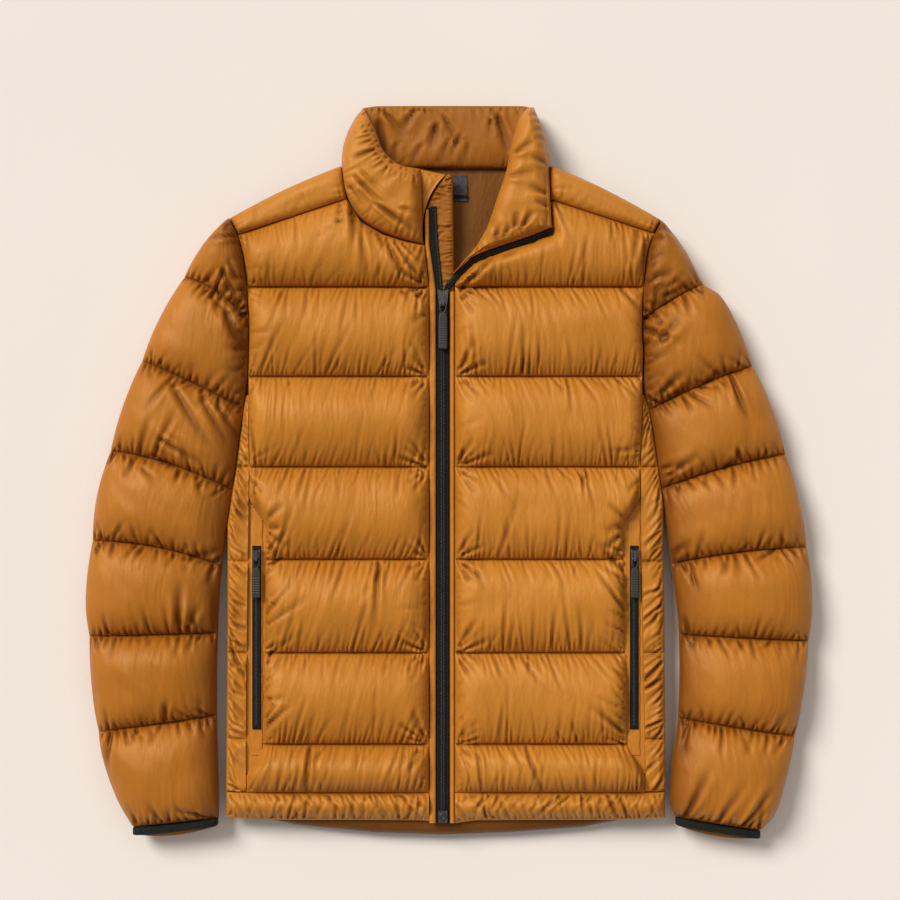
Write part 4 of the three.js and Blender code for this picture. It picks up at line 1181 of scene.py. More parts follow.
@dataclass
class SidePanel:
    """Narrow panel between a front and the side edge."""

    side: Side
    pucker: Pucker = Pucker(pitch=5.0, length=15.0, depth=1.3, width=1.3, fan=24.0)
    cross_pucker: Pucker = Pucker(pitch=6.0, length=36.0, depth=4.2, width=1.6, fan=11.0)
    lean: float = 46.0

    def build(self) -> bpy.types.Object:
        """Makes the panel and dresses it."""
        side = self.side
        u = np.linspace(0.0, 1.0, max(8, round(28 / ACROSS)))
        rows, shares, stitched = [], [], []
        for upper, lower in zip(SIDE_LINES, SIDE_LINES[1:]):
            stitched.append(len(rows))
            for w in spaced(0.0, 1.0, 0.7 * STEP / (upper - lower)):
                rows.append(lerp(upper, lower, w))
                shares.append(w)
        stitched.append(len(rows))
        y = np.array(rows + [SIDE_LINES[-1]])[:, None] * np.ones(len(u))
        w = np.array(shares + [1.0])[:, None] * np.ones(len(u))
        outer, inner = side.body_out(y), side.front_out(y) + 2 * SEAM
        out = lerp(outer, inner, u[None, :])
        shape = EDGE + (STITCH + 9 * puff(w) - EDGE) * rise(outer - out + 0.5, ROLL)
        height = np.maximum(np.minimum(shape, STITCH + 4), EDGE)
        skin = Skin(side.sign * out, y, OVER_FOOT + height, OVER_FOOT)
        rng = np.random.default_rng(side.seed(21))
        creases: list[Crease] = []
        for row in stitched[1:]:
            creases += self.pucker.along(skin.row(row), (0, 1), rng)
        creases += self.cross_pucker.along(skin.column(2), (-side.sign, 0), rng, -self.lean * side.sign)
        lay_creases(skin, creases, edge_mask(skin, 2.0))
        near = np.min([np.abs(skin.y - level) for level in SIDE_LINES[1:-1]], axis=0)
        skin.score(near, 2.2, 1.5, edge_mask(skin, 2.0))
        name = f"side_{side.name}"
        return sewn(skin, f"{name}_panel", [name])


@dataclass
class Yoke:
    """Shoulder yoke, from the shoulder's edge to its seam with the front."""

    side: Side
    pucker: Pucker = Pucker(pitch=6.5, length=20.0, depth=1.3, width=1.5, fan=16.0)
    lean: float = 12.0

    def build(self) -> bpy.types.Object:
        """Makes the yoke and dresses it."""
        side = self.side
        u = edge_dense(round(125 / STEP))[None, :]
        v = edge_dense(round(56 / STEP), 0.3)[:, None]
        bulge = 3 * np.sin(np.pi * u)
        upper_x, upper_y = (lerp(a, b, u) for a, b in zip(*side.shoulder))
        lower_x, lower_y = (lerp(a, b, u) for a, b in zip(*side.yoke_seam))
        upper_y = upper_y + bulge
        out, y = lerp(upper_x, lower_x, v), lerp(upper_y, lower_y, v)
        crown = STITCH + 9 * rise(1 - v, 0.3) * rise(np.minimum(u, 1 - u), 0.1)
        height = EDGE + (crown - EDGE) * rise(upper_y - y, 16)
        skin = Skin(side.sign * out, y, OVER_FOOT + height, OVER_FOOT)
        rng = np.random.default_rng(side.seed(41))
        creases = self.pucker.along(skin.row(-1), (0, 1), rng, self.lean)
        for column, inward in ((0, -1), (-1, 1)):
            creases += self.pucker.along(skin.column(column), (side.sign * inward, 0.0), rng)
        skin.push(Lattice(43).at(skin.x, skin.y, 40, 26) * 1.2 * edge_mask(skin))
        lay_creases(skin, creases, edge_mask(skin))
        name = f"yoke_{side.name}"
        return sewn(skin, f"{name}_panel", [name])


@dataclass
class HemBand:
    """Hem band of one front, below the last quilt line."""

    side: Side
    pucker: Pucker = Pucker(pitch=5.0, length=26.0, depth=3.0, width=1.5, fan=16.0)
    lean_down: float = 36.0
    lean_up: float = 18.0

    def build(self) -> bpy.types.Object:
        """Makes the band and dresses it."""
        side = self.side
        u = edge_dense(round(215 / ACROSS), 0.3)[None, :]
        w = edge_dense(max(8, round(44 / STEP)), 0.3)[:, None]
        outer = side.body_out(HEM_TOP - 20 * w) + 0 * u
        inner = side.zip_edge.straight(HEM_TOP)
        out = lerp(outer, inner, u)
        y = lerp(HEM_TOP, Line(HEM_FOOT).straight(out), w)
        crown = 8 + (HEM_LOFT - 8) * np.sin(np.pi * np.clip(w + 0.08, 0.08, 0.97))
        height = EDGE + (crown - EDGE) * rise(outer - out, ROLL) * lerp(0.3, 1.0, rise(1 - w, 0.3))
        skin = Skin(side.sign * out, y, OVER_FOOT + np.maximum(height, EDGE), OVER_FOOT)
        rng = np.random.default_rng(side.seed(51))
        creases = self.pucker.along(skin.row(0), (0, -1), rng, self.lean_down * side.sign)
        creases += self.pucker.along(skin.row(-1), (0, 1), rng, -self.lean_up * side.sign)
        lay_creases(skin, creases, edge_mask(skin, 2.5))
        name = f"hem_{side.name}"
        return sewn(skin, f"{name}_band", [name])


@dataclass
class Back:
    """Back of the jacket: flat underneath, seen inside the neck and below the hem."""

    pucker: Pucker = Pucker(pitch=12.0, length=40.0, depth=1.4, width=3.2, fan=20.0)

    def build(self) -> bpy.types.Object:
        """Makes the back and dresses it."""
        step = STEP * 2
        u = edge_dense(round(470 / step), 0.5)
        top_line, hem_line = Line(BACK_TOP), Line(BACK_HEM)
        place = lambda y: lerp(-LEFT.body_out(np.minimum(y, 274)), RIGHT.body_out(np.minimum(y, 274)), u)
        rows: list[Callable[[Grid], Grid]] = []
        for w in spaced(0.0, 1.0, step / 130):
            rows.append(lambda x, w=w: lerp(top_line.straight(x), BACK_YOKE_SEAM, w))
        for level in spaced(BACK_YOKE_SEAM, BACK_HEM_SEAM, step):
            rows.append(lambda x, level=level: np.full(x.shape, level))
        for w in np.linspace(0.0, 1.0, round(60 / step)):
            rows.append(lambda x, w=w: lerp(BACK_HEM_SEAM, hem_line.straight(x), w))
        y = np.empty((len(rows), len(u)))
        for i, row in enumerate(rows):
            level = np.full(u.shape, 260.0)
            for _ in range(8):
                level = row(place(level))
            y[i] = level
        x = np.array([place(level) for level in y])
        from_side = np.minimum(u, 1 - u)[None, :] * 470
        side_roll = lerp(1.0, rise(from_side, ROLL), clamp((20 - y) / 70))
        shoulder = (x < BACK_TOP[1][0]) | (x > BACK_TOP[4][0])
        shoulder_roll = np.where(shoulder, rise(top_line.straight(x) - y, 16), 1.0)
        hem_roll = rise(y - hem_line.straight(x), 14)
        rounded = np.minimum(np.minimum(side_roll, shoulder_roll), hem_roll)
        neck = ease((x + 40) / 22) * ease((84 - x) / 22) * ease((y - 205) / 40)
        upper = lerp(UNDER_TOP, NECK_FLOOR, neck) - (1 - hem_roll) * 8
        lower = (upper - EDGE) * (1 - rounded)
        skin = Skin(x, y, upper, lower)
        rng = np.random.default_rng(61)
        creases = self.pucker.along(np.array([[-20.0, 329.0], [70.0, 329.0]]), (0, -1), rng)
        lay_creases(skin, creases, edge_mask(skin) * neck)
        return sewn(skin, "back_panel", ["back", "back_yoke"], Slot.LINING, under=lower)


def closed_shell(skin: Skin, lower: Grid) -> Shape:
    """Points and faces of a piece with a full grid on both faces.

    Args:
        skin: its upper face.
        lower: heights of its lower face.

    Returns:
        The points and the faces.
    """
    points = np.vstack([np.stack([skin.x, skin.y, z], -1).reshape(-1, 3) for z in (skin.z, lower)])
    index, quads, loop = grid_faces(*skin.x.shape)
    faces = quads.tolist() + (quads[:, ::-1] + index.size).tolist()
    for a, b in zip(loop, loop[1:] + loop[:1]):
        faces.append([a, b, b + index.size, a + index.size])
    return points, orient(points, faces)


def sewn(skin: Skin, name: str, nodes: Sequence[str], slot: Slot = Slot.SHELL,
         finish: Finish | None = None, under: Grid | None = None) -> bpy.types.Object:
    """Makes a padded piece from its skin and dresses it.

    Args:
        skin: its skin.
        name: name of the piece.
        nodes: solids that it replaces.
        slot: its material slot.
        finish: its finish, where it isn't the slot's own.
        under: heights of its lower face, where that isn't plain.

    Returns:
        The piece.
    """
    piece = make_object(name, skin.mesh_data() if under is None else closed_shell(skin, under))
    if slot is Slot.SHELL:
        store_painted_shade(piece, skin)
    dress(piece, slot, nodes, finish=finish)
    return piece


SLEEVE_FOLDS = {
    "left": (
        (-245.2, 223.6, -218.2, 160.9, 2.6, 3.6), (-236.5, 227.9, -216.0, 184.7, 2.0, 2.4),
        (-253.8, 202.0, -236.5, 178.2, 1.8, 1.6), (-254.9, 193.3, -240.8, 167.4, 1.8, 2.6),
        (-240.8, 176.0, -216.0, 126.4, 3.2, 4.2), (-246.2, 183.6, -230.0, 163.1, 1.6, 2.4),
        (-301.3, 103.7, -254.9, 27.0, 2.4, 2.6), (-265.7, 82.1, -236.5, 31.3, 2.0, 2.4),
        (-249.5, 76.7, -225.7, 35.6, 1.8, 2.2), (-314.3, 40.0, -264.6, 9.7, 2.2, 3.2),
        (-305.6, 44.3, -273.2, 22.7, 1.7, 2.0), (-322.9, 22.7, -290.5, 3.2, 1.6, 1.6),
        (-331.6, 7.6, -312.1, -7.6, 1.6, 1.6), (-344.5, -72.4, -322.9, -89.6, 1.8, 1.4),
        (-290.5, -94.0, -236.5, -81.0, 2.2, 1.6), (-245.2, -180.4, -221.4, -154.4, 2.2, 1.8),
    ),
    "right": (
        (220.3, 132.8, 249.5, 173.9, 2.6, 3.4), (216.0, 146.9, 239.8, 178.2, 2.2, 2.6),
        (224.6, 186.8, 262.4, 205.2, 1.8, 2.2), (230.0, 195.5, 253.8, 212.8, 1.6, 1.8),
        (224.6, 83.2, 249.5, 106.9, 2.0, 2.8), (236.5, 81.0, 260.3, 96.1, 1.6, 2.0),
        (271.1, 94.0, 294.8, 111.2, 1.7, 2.0), (223.6, 3.2, 253.8, 11.9, 1.8, 2.4),
        (232.2, -5.4, 266.8, 20.5, 1.8, 2.2), (292.7, 3.2, 316.4, 22.7, 1.8, 1.8),
        (227.9, -94.0, 260.3, -72.4, 2.2, 1.8), (222.5, -180.4, 249.5, -160.9, 2.2, 1.6),
    ),
}


@dataclass
class Sleeve:
    """A sleeve's two layers: rows run from the outer edge to the armhole, then to the inner edge."""

    side: Side
    seam_pucker: Pucker = Pucker(pitch=7.0, length=20.0, depth=4.4, width=1.9, fan=24.0)
    upper_pucker: Pucker = Pucker(pitch=7.0, length=18.0, depth=4.8, width=2.0, fan=24.0)
    cuff_pucker: Pucker = Pucker(pitch=7.5, length=28.0, depth=6.0, width=2.1, fan=24.0)

    def point(self, block: Grid, w: Grid, u: Grid) -> tuple[Grid, Grid, Grid, Grid]:
        """Places on the sleeve.

        Args:
            block: row of down, counted from the shoulder.
            w: share of the way down it.
            u: share of the way from the outer edge to the inner one.

        Returns:
            The distance out, the height up the jacket, and the distances from the outer and inner edges.
        """
        rows = np.array(self.side.sleeve_rows)
        a, b = rows[block], rows[block + 1]
        outer_y, inner_y = lerp(a[..., 0], b[..., 0], w), lerp(a[..., 1], b[..., 1], w)
        outer = self.side.sleeve_outer.smooth(outer_y) - 2.2 + 2.2 * puff(w)
        inner = self.side.sleeve_inner.smooth(inner_y)
        bow = lerp(a[..., 2], b[..., 2], w) * 4 * u * (1 - u)
        out = lerp(outer, inner, u)
        return out, lerp(outer_y, inner_y, u) + bow, outer - out, out - inner

    def height(self, block: Grid, w: Grid, from_outer: Grid, from_inner: Grid) -> Grid:
        """Height of the upper layer.

        Args:
            block: row of down, counted from the shoulder.
            w: share of the way down it.
            from_outer: distance from the outer edge.
            from_inner: distance from the inner edge.

        Returns:
            The height above the layer's foot.
        """
        free = clamp((block + w - 1.2) / 1.2)
        half = 0.5 * (from_outer + from_inner)
        outer_round = rise(from_outer, lerp(ROLL, 0.9 * half, 0.75))
        inner_round = lerp(rise(from_inner + 9.0, 0.7 * half), rise(from_inner, 0.95 * half), free)
        low = STITCH * lerp(1.0, 0.9, free)
        seam_side = lerp(rise(from_inner, RISE), 1.0, free)
        fullness = puff(np.where(block == 0, 0.3 + 0.7 * w, w), 3.0)
        crown = low + (SLEEVE_LOFT + 2.0 - low) * fullness * seam_side
        return np.maximum(EDGE + (crown - EDGE) * np.minimum(outer_round, inner_round), EDGE)

    def grid(self, step: float) -> tuple[Grid, Grid, Grid, list[int]]:
        """Blocks, shares down and shares across, with the stitched rows."""
        ends = np.array(self.side.sleeve_rows)[:, :2]
        blocks, shares, stitched = quilt_rows(0.5 * (ends[:-1] - ends[1:]).sum(axis=1), step, 0.5)
        u = edge_dense(round(155 * STEP / (step * ACROSS)), 0.4)[None, :]
        block = blocks[:, None] + 0 * u.astype(int)
        return block, shares[:, None] + 0 * u, u + 0.0 * block, stitched

    def build_upper(self) -> bpy.types.Object:
        """Makes the upper layer and dresses it."""
        side = self.side
        block, w, u, stitched = self.grid(STEP)
        out, y, from_outer, from_inner = self.point(block, w, u)
        height = self.height(block, w, from_outer, from_inner)
        skin = Skin(side.sign * out, y, OVER_FOOT + height, OVER_FOOT)
        rng = np.random.default_rng(side.seed(71))
        creases = drawn(SLEEVE_FOLDS[side.name])
        for row in stitched[1:]:
            path = skin.row(row)
            pucker = self.cuff_pucker if row == stitched[-1] else self.seam_pucker
            creases += pucker.along(path, (0, 1), rng)
            if row != stitched[-1]:
                creases += self.upper_pucker.along(path, (0, -1), rng)
        armhole = (block[:, 0] + w[:, 0]) < 2
        creases += self.upper_pucker.along(skin.column(-1)[armhole], (side.sign, 0.2), rng)
        lattice = Lattice(side.seed(73))
        swell = lattice.at(skin.x, skin.y, 40, 40) * 1.8
        swell = swell + lattice.at(skin.x + skin.y, skin.y - skin.x, 16, 50) * 0.9
        upper, lower = w * ROW_SPAN, (1 - w) * ROW_SPAN
        gathers = Gathers(spacing=5.0, lean=(10.0 * side.sign, -14.0 * side.sign), height=0.9, seed=6)
        folds = gathers.relief(skin.x, skin.y, upper, lower, block)
        mask = edge_mask(skin)
        skin.push((swell * puff(w) + folds) * mask)
        lay_creases(skin, creases, mask)
        near = np.minimum(upper + 99.0 * (block == 0), lower)
        skin.score(near, 1.3, 1.3, mask)
        # Painted shade at the quilt lines and along the inner edge, where the sleeve meets the body
        skin.painted_shade = skin.painted_shade + 0.6 * np.exp(-near / 4.0) * mask + 0.8 * clamp(1 - from_inner / 38.0) ** 1.5
        name = f"sleeve_{side.name}_front"
        return sewn(skin, f"{name}_quilting", [name], finish=SHADED_SLEEVE_NYLON)

    def build_under(self) -> bpy.types.Object:
        """Makes the under layer, flat where it rests, and dresses it."""
        side = self.side
        block, w, u, _ = self.grid(STEP * 2)
        out, y, from_outer, from_inner = self.point(block, w, u)
        free = clamp((block + w - 1.6) / 1.2)
        rounded = np.minimum(rise(from_outer, ROLL), lerp(1.0, rise(from_inner, ROLL), free))
        groove = 1.2 * (1 - puff(w)) ** 3 * (1 - rounded)
        lower = (UNDER_TOP - EDGE) * (1 - rounded) + groove
        skin = Skin(side.sign * out, y, np.full(y.shape, UNDER_TOP), lower)
        name = f"sleeve_{side.name}_back"
        return sewn(skin, f"{name}_panel", [name], finish=SHADED_SLEEVE_NYLON, under=lower)

    def build_cuff(self, is_upper: bool) -> bpy.types.Object:
        """Makes one half of the cuff's binding and dresses it."""
        side = self.side
        v = np.linspace(0.0, 1.0, 9)[:, None]
        u = edge_dense(60)[None, :]
        depth = 9.0 if is_upper else 9.0 + 20 * u * (1 - u)
        last = np.full((9, 60), len(side.sleeve_rows) - 2)
        out, y, from_outer, from_inner = self.point(last, np.ones((9, 60)), lerp(0.01, 0.99, u) + 0 * v)
        rounded = rise(np.minimum(from_outer, from_inner), ROLL)
        blunt = lerp(0.35, 1.0, rise(np.minimum(from_outer, from_inner), 5.0))
        y = y - GAP - (0.5 + (v - 0.5) * blunt) * depth - 3 * u * (1 - u)
        full = 15.0 if is_upper else 17.0
        section = lerp(0.72, 1.0, np.sin(np.pi * v))
        thick = EDGE + (full - EDGE) * rounded * section
        thick = thick - 0.5 * np.exp(-(((v - 0.5) / 0.09) ** 2))
        wave, often = (0.35, 1.1) if is_upper else (1.2, 0.7)
        ripple = wave * np.sin(out * often) * rise(np.minimum(v, 1 - v), 0.3)
        if is_upper:
            skin = Skin(side.sign * out, y, OVER_FOOT + thick + ripple, OVER_FOOT)
        else:
            skin = Skin(side.sign * out, y, UNDER_TOP - thick, UNDER_TOP)
        layer = "front" if is_upper else "back"
        name = f"cuff_{side.name}_{layer}"
        return sewn(skin, f"{name}_edge", [name], Slot.BINDING if is_upper else Slot.SHELL)

    def build(self) -> None:
        """Makes both layers and both halves of the cuff."""
        self.build_upper()
        self.build_under()
        self.build_cuff(True)
        self.build_cuff(False)


def section_grid(table: Sequence[Sequence[tuple[float, float]]], t: Grid, v: Grid) -> tuple[Grid, Grid]:
    """Points between the sections of the collar.

    Args:
        table: sections, each with its base, middle and rim.
        t: share of the way round, as a column.
        v: share of the way from the base to the rim, as a row.

    Returns:
        The x and y of each point.
    """
    weights = ((1 - v) * (1 - 2 * v), 4 * v * (1 - v), v * (2 * v - 1))
    places = np.linspace(0.0, 1.0, len(table))
    grids = []
    for axis in (0, 1):
        value = 0.0
        for k in range(3):
            line = Line(tuple((float(p), row[k][axis]) for p, row in zip(places, table)))
            value = value + weights[k] * line.smooth(t)
        grids.append(value)
    return grids[0], grids[1]


COLLAR_FOLDS = {
    "left": (
        (-104.8, 320.8, -48.6, 263.5, 1.9, 2.6), (-85.3, 291.6, -32.4, 254.9, 1.6, 2.2),
        (-112.3, 312.1, -81.0, 276.5, 1.6, 1.6), (-55.1, 283.0, -31.3, 277.6, 1.4, 1.4),
        (-96.1, 325.1, -61.6, 288.4, 1.8, 1.2), (-100.4, 305.6, -68.0, 271.1, 1.4, 1.6),
    ),
    "back": (
        (-71.3, 392.0, -46.4, 362.9, 1.8, 2.2), (-35.6, 394.2, -49.7, 370.4, 2.0, 2.2),
        (-13.0, 380.2, -19.4, 351.0, 2.2, 3.4), (-9.7, 393.1, 15.1, 347.8, 1.4, 2.0),
        (4.3, 366.1, -11.9, 332.6, 1.7, 1.8), (15.1, 370.4, -3.2, 334.8, 1.6, 1.8),
        (49.7, 394.2, 64.8, 345.6, 2.2, 3.4), (44.3, 384.5, 48.6, 364.0, 1.5, 1.8),
        (-76.7, 385.6, -70.2, 338.0, 3.2, 3.0), (-27.0, 359.6, -42.1, 331.6, 1.8, 1.4),
        (22.7, 359.6, 14.0, 329.4, 1.8, 1.2), (-55.1, 359.6, -61.6, 333.7, 2.2, 1.6),
    ),
    "right": (
        (67.0, 340.2, 89.6, 353.2, 2.0, 2.2), (60.5, 316.4, 91.8, 320.8, 2.2, 1.6),
        (105.8, 329.4, 87.5, 338.0, 1.8, 1.8), (108.0, 295.9, 85.3, 306.7, 2.0, 2.4),
        (108.0, 283.0, 91.8, 290.5, 1.6, 2.0), (70.2, 259.2, 72.4, 278.6, 1.3, 2.4),
        (77.8, 261.4, 89.6, 279.7, 1.4, 2.6), (60.5, 254.9, 67.0, 267.8, 1.2, 1.6),
        (50.8, 251.6, 55.1, 266.8, 1.3, 1.4), (96.1, 383.4, 84.2, 383.4, 1.2, 1.6),
        (99.4, 374.8, 86.4, 375.8, 1.2, 1.6), (101.5, 366.1, 88.6, 367.2, 1.2, 1.6),
        (103.7, 356.4, 90.7, 358.6, 1.2, 1.4),
    ),
}
# Row of stitches beside the zip, where the collar's padding ends in a flat flap
COLLAR_STITCH = Line(((246.0, -28.0), (300.0, -29.6), (330.0, -31.0)))


@dataclass
class Collar:
    """Stand collar: its zipped side folded down, its back, and the corner turned out."""

    rim_pucker: Pucker = Pucker(pitch=5.5, length=15.0, depth=2.4, width=1.5, fan=12.0)
    seam_pucker: Pucker = Pucker(pitch=6.5, length=20.0, depth=1.3, width=1.5, fan=16.0)

    def build_left(self) -> bpy.types.Object:
        """Makes the zipped side, outer face up."""
        t = edge_dense(round(150 / ACROSS), 0.3)[:, None]
        v = edge_dense(round(90 / ACROSS), 0.3)[None, :]
        x, y = section_grid(COLLAR_LEFT, t, v)
        flap = COLLAR_STITCH.straight(y) - x
        crown = STITCH + (LOFT - STITCH) * rise(v, 0.4) * rise(np.maximum(flap, 0.0), 14.0)
        crown = crown - 2.0 * np.exp(-((flap / 1.2) ** 2))
        rim = lerp(0.28, 1.0, rise(1 - v, 0.26))
        height = EDGE + (crown * rim - EDGE) * rise(1 - t, 0.2)
        skin = Skin(x, y, OVER_FOOT + np.maximum(height, EDGE), OVER_FOOT)
        rng = np.random.default_rng(81)
        inside = skin.x.shape[1] * 86 // 100
        creases = drawn(COLLAR_FOLDS["left"])
        creases += self.rim_pucker.along(skin.column(inside), (-0.5, -1.0), rng)
        creases += self.rim_pucker.along(skin.column(inside), (0.5, 1.0), rng)
        creases += self.seam_pucker.along(skin.column(0), (0.3, 1.0), rng)
        swell = Lattice(82).at(skin.x + skin.y, skin.y - skin.x, 60, 16) * 1.1
        skin.push(swell * edge_mask(skin))
        lay_creases(skin, creases, edge_mask(skin) * lerp(0.35, 1.0, ease(flap / 3.0)))
        return sewn(skin, "collar_left_padding", ["collar_left"])

    def build_back(self) -> bpy.types.Object:
        """Makes the back of the collar, its inner face up."""
        t = edge_dense(round(225 / ACROSS), 0.4)[:, None]
        v = edge_dense(round(68 / ACROSS), 0.4)[None, :]
        x, y = section_grid(COLLAR_BACK, t, v)
        rounded = np.minimum(rise(np.minimum(t, 1 - t), 0.12), rise(1 - v, 0.22))
        top = lerp(15.0, UNDER_TOP, rise(v, 0.4)) - 5 * (1 - rise(1 - v, 0.22)) + 0 * t
        lower = (top - EDGE) * (1 - rounded)
        skin = Skin(x, y, top, lower)
        rng = np.random.default_rng(83)
        creases = drawn(COLLAR_FOLDS["back"])
        creases += self.seam_pucker.along(skin.column(0), (0, 1), rng)
        creases += self.rim_pucker.along(skin.column(-1), (0, -1), rng)
        skin.push(Lattice(84).at(skin.x + skin.y, skin.y - skin.x, 26, 40) * 1.6 * edge_mask(skin))
        lay_creases(skin, creases, edge_mask(skin))
        # Painted shade along the collar's seam and at its left end, under the fold
        skin.painted_shade = skin.painted_shade + 0.7 * np.exp(-v * 68 / 5.0) + 0.8 * np.exp(-t * 225 / 9.0)
        return sewn(skin, "collar_back_padding", ["collar_back"], finish=SHADED_INNER_NYLON, under=lower)

    def build_right(self) -> bpy.types.Object:
        """Makes the corner that is turned out over the front."""
        count = len(LAPEL) - 1
        t = np.linspace(0.0, count, round(190 / ACROSS))[:, None]
        u = edge_dense(round(60 / ACROSS), 0.4)[None, :]
        places = range(len(LAPEL))
        line = lambda edge, axis: Line(tuple((float(k), LAPEL[k][edge][axis]) for k in places))
        ax, ay = line(0, 0).smooth(t), line(0, 1).smooth(t)
        bx, by = line(1, 0).straight(t), line(1, 1).straight(t)
        x, y = lerp(ax, bx, u), lerp(ay, by, u)
        width = np.hypot(bx - ax, by - ay)
        over_front = clamp((327 - y) / 30)
        lift = 5 * (1 - rise((1 - u) * width, 12)) * over_front
        foot = lerp(OVER_FOOT, LAPEL_FOOT, over_front) + lift
        crown = LAPEL_TOP - 12 * ease((t - 5) / 4) - 8 * ease((t - 9) / 1)
        from_roll = lerp(0.25, 1.0, rise(u * width, 16))
        from_edge = lerp(0.3 * over_front, 1.0, rise((1 - u) * width, 20))
        height = (crown - foot) * rise(t, 1.5) * np.minimum(from_roll, from_edge)
        skin = Skin(x, y, foot + np.maximum(height, EDGE), foot)
        rng = np.random.default_rng(85)
        creases = drawn(COLLAR_FOLDS["right"])
        hem = skin.x.shape[1] * 90 // 100
        lower_hem = skin.column(hem)[skin.y[:, hem] < 264]
        creases += self.rim_pucker.along(lower_hem, (-0.3, 1.0), rng)
        skin.push(Lattice(86).at(skin.x, skin.y, 44, 17) * 1.3 * edge_mask(skin))
        lay_creases(skin, creases, edge_mask(skin))
        from_hem = (1 - u) * width
        skin.score(from_hem - 4.5, 1.6, 1.1, ease(t - 1.0) * edge_mask(skin))
        return sewn(skin, "collar_right_padding", ["collar_right"], under=np.broadcast_to(foot, x.shape))

    def build(self) -> None:
        """Makes the three stretches of the collar."""
        self.build_back()
        self.build_left()
        self.build_right()


# Main zip: heights of what lies on the guard
GUARD_THICK = 8.0
ON_GUARD = OVER_FOOT + GUARD_THICK + GAP
TAPE_THICK = 1.6
LIP_THICK = 5.0
ON_TAPE = ON_GUARD + TAPE_THICK + GAP
ZIP_TOP = 197.0
ZIP_BOTTOM = -376.0
ZIP_CENTRE = -6.5
CHAIN_TOP = 179.1
CHAIN_BOTTOM = -362.0
ON_FRONT = OVER_FOOT + STITCH + GAP
WELT_THICK = 0.8
# Least width taken for a cut, in mm. A cut narrower than this is stated by its area
NARROWEST = 10.0


def ribbon(places: Grid, left: Callable[[Grid], Grid], right: Callable[[Grid], Grid], foot: float,
           thick: float, columns: int, round_edge: float) -> Skin:
    """A strip between two edges, with rounded long edges.

    Args:
        places: heights of its rows, from the collar down.
        left: x of its left edge at a height.
        right: x of its right edge at a height.
        foot: height of its underside.
        thick: its thickness.
        columns: number of points across it.
        round_edge: width over which its long edges are rounded.

    Returns:
        Its skin.
    """
    y = places[:, None] + np.zeros(columns)
    u = edge_dense(columns, 0.5)[None, :]
    a, b = left(y), right(y)
    x = lerp(a, b, u)
    from_edge = np.minimum(x - a, b - x)
    height = thick * lerp(0.45, 1.0, rise(from_edge, round_edge))
    return Skin(x, y, foot + height, foot)


def upright(x: float) -> Callable[[Grid], Grid]:
    """Edge of a strip that runs straight up the jacket."""
    return lambda y: x + 0 * y


def cut_strip(shape: Shape, name: str, slot: Slot, node: str, width: float, length: float,
              held: str = "laid") -> None:
    """Makes and dresses a strip of cloth that is cut flat.

    Args:
        shape: its points and faces.
        name: name of the piece.
        slot: its material slot.
        node: the solid that it replaces.
        width: width of the cut, in mm.
        length: length of the cut, in mm; not used.
        held: how it is held; not used.
    """
    piece = dress(make_object(name, shape), slot, [node])
    max(width, NARROWEST) * MM


def capsule_row(path: Grid, pitch: float, size: tuple[float, float, float], turn: float = 0.0,
                sides: int = 6) -> Shape:
    """Small rounded grains placed along a line: stitches, or the coil of a zip.

    Args:
        path: points of the line, n by 3.
        pitch: distance between grains.
        size: half-length along the line, half-width and half-height.
        turn: angle of each grain from the line, in degrees.
        sides: points round each of its three rings.

    Returns:
        Points and faces.
    """
    steps = np.linalg.norm(np.diff(path, axis=0), axis=1)
    travelled = np.concatenate([[0.0], np.cumsum(steps)])
    places = np.arange(pitch / 2, travelled[-1], pitch)
    centre = np.stack([np.interp(places, travelled, path[:, k]) for k in range(3)], -1)
    ahead = np.stack([np.interp(places + 0.5, travelled, path[:, k]) for k in range(3)], -1)
    behind = np.stack([np.interp(places - 0.5, travelled, path[:, k]) for k in range(3)], -1)
    run = ahead - behind
    run /= np.maximum(np.linalg.norm(run, axis=1, keepdims=True), 1e-9)
    c, d = math.cos(math.radians(turn)), math.sin(math.radians(turn))
    run = np.stack([run[:, 0] * c - run[:, 1] * d, run[:, 0] * d + run[:, 1] * c, run[:, 2]], -1)
    side = np.stack([-run[:, 1], run[:, 0], np.zeros(len(run))], -1)
    side /= np.maximum(np.linalg.norm(side, axis=1, keepdims=True), 1e-9)
    up = np.cross(run, side)
    rings = 3
    grain, faces = [(-1.0, 0.0, 0.0)], []
    for i in range(rings):
        a = math.pi * (i + 1) / (rings + 1)
        for k in range(sides):
            b = 2 * math.pi * k / sides
            grain.append((-math.cos(a), math.sin(a) ** 0.6 * math.cos(b), math.sin(a) ** 0.6 * math.sin(b)))
    grain.append((1.0, 0.0, 0.0))
    last = len(grain) - 1
    for k in range(sides):
        n = (k + 1) % sides
        faces.append([0, 1 + n, 1 + k])
        for i in range(rings - 1):
            a, b = 1 + i * sides, 1 + (i + 1) * sides
            faces.append([a + k, a + n, b + n, b + k])
        faces.append([last, 1 + (rings - 1) * sides + k, 1 + (rings - 1) * sides + n])
    shape = np.array(grain) * np.array(size)
    points = (
        centre[:, None, :] + shape[None, :, 0:1] * run[:, None, :]
        + shape[None, :, 1:2] * side[:, None, :] + shape[None, :, 2:3] * up[:, None, :]
    )
    every = [[v + n * len(grain) for v in face] for n in range(len(places)) for face in faces]
    return points.reshape(-1, 3), every


def merge_parts(parts: Sequence[Shape]) -> Shape:
    """Joins several point and face lists into one."""
    points, faces, offset = [], [], 0
    for part_points, part_faces in parts:
        points.append(part_points)
        faces += [[v + offset for v in face] for face in part_faces]
        offset += len(part_points)
    return np.vstack(points), faces


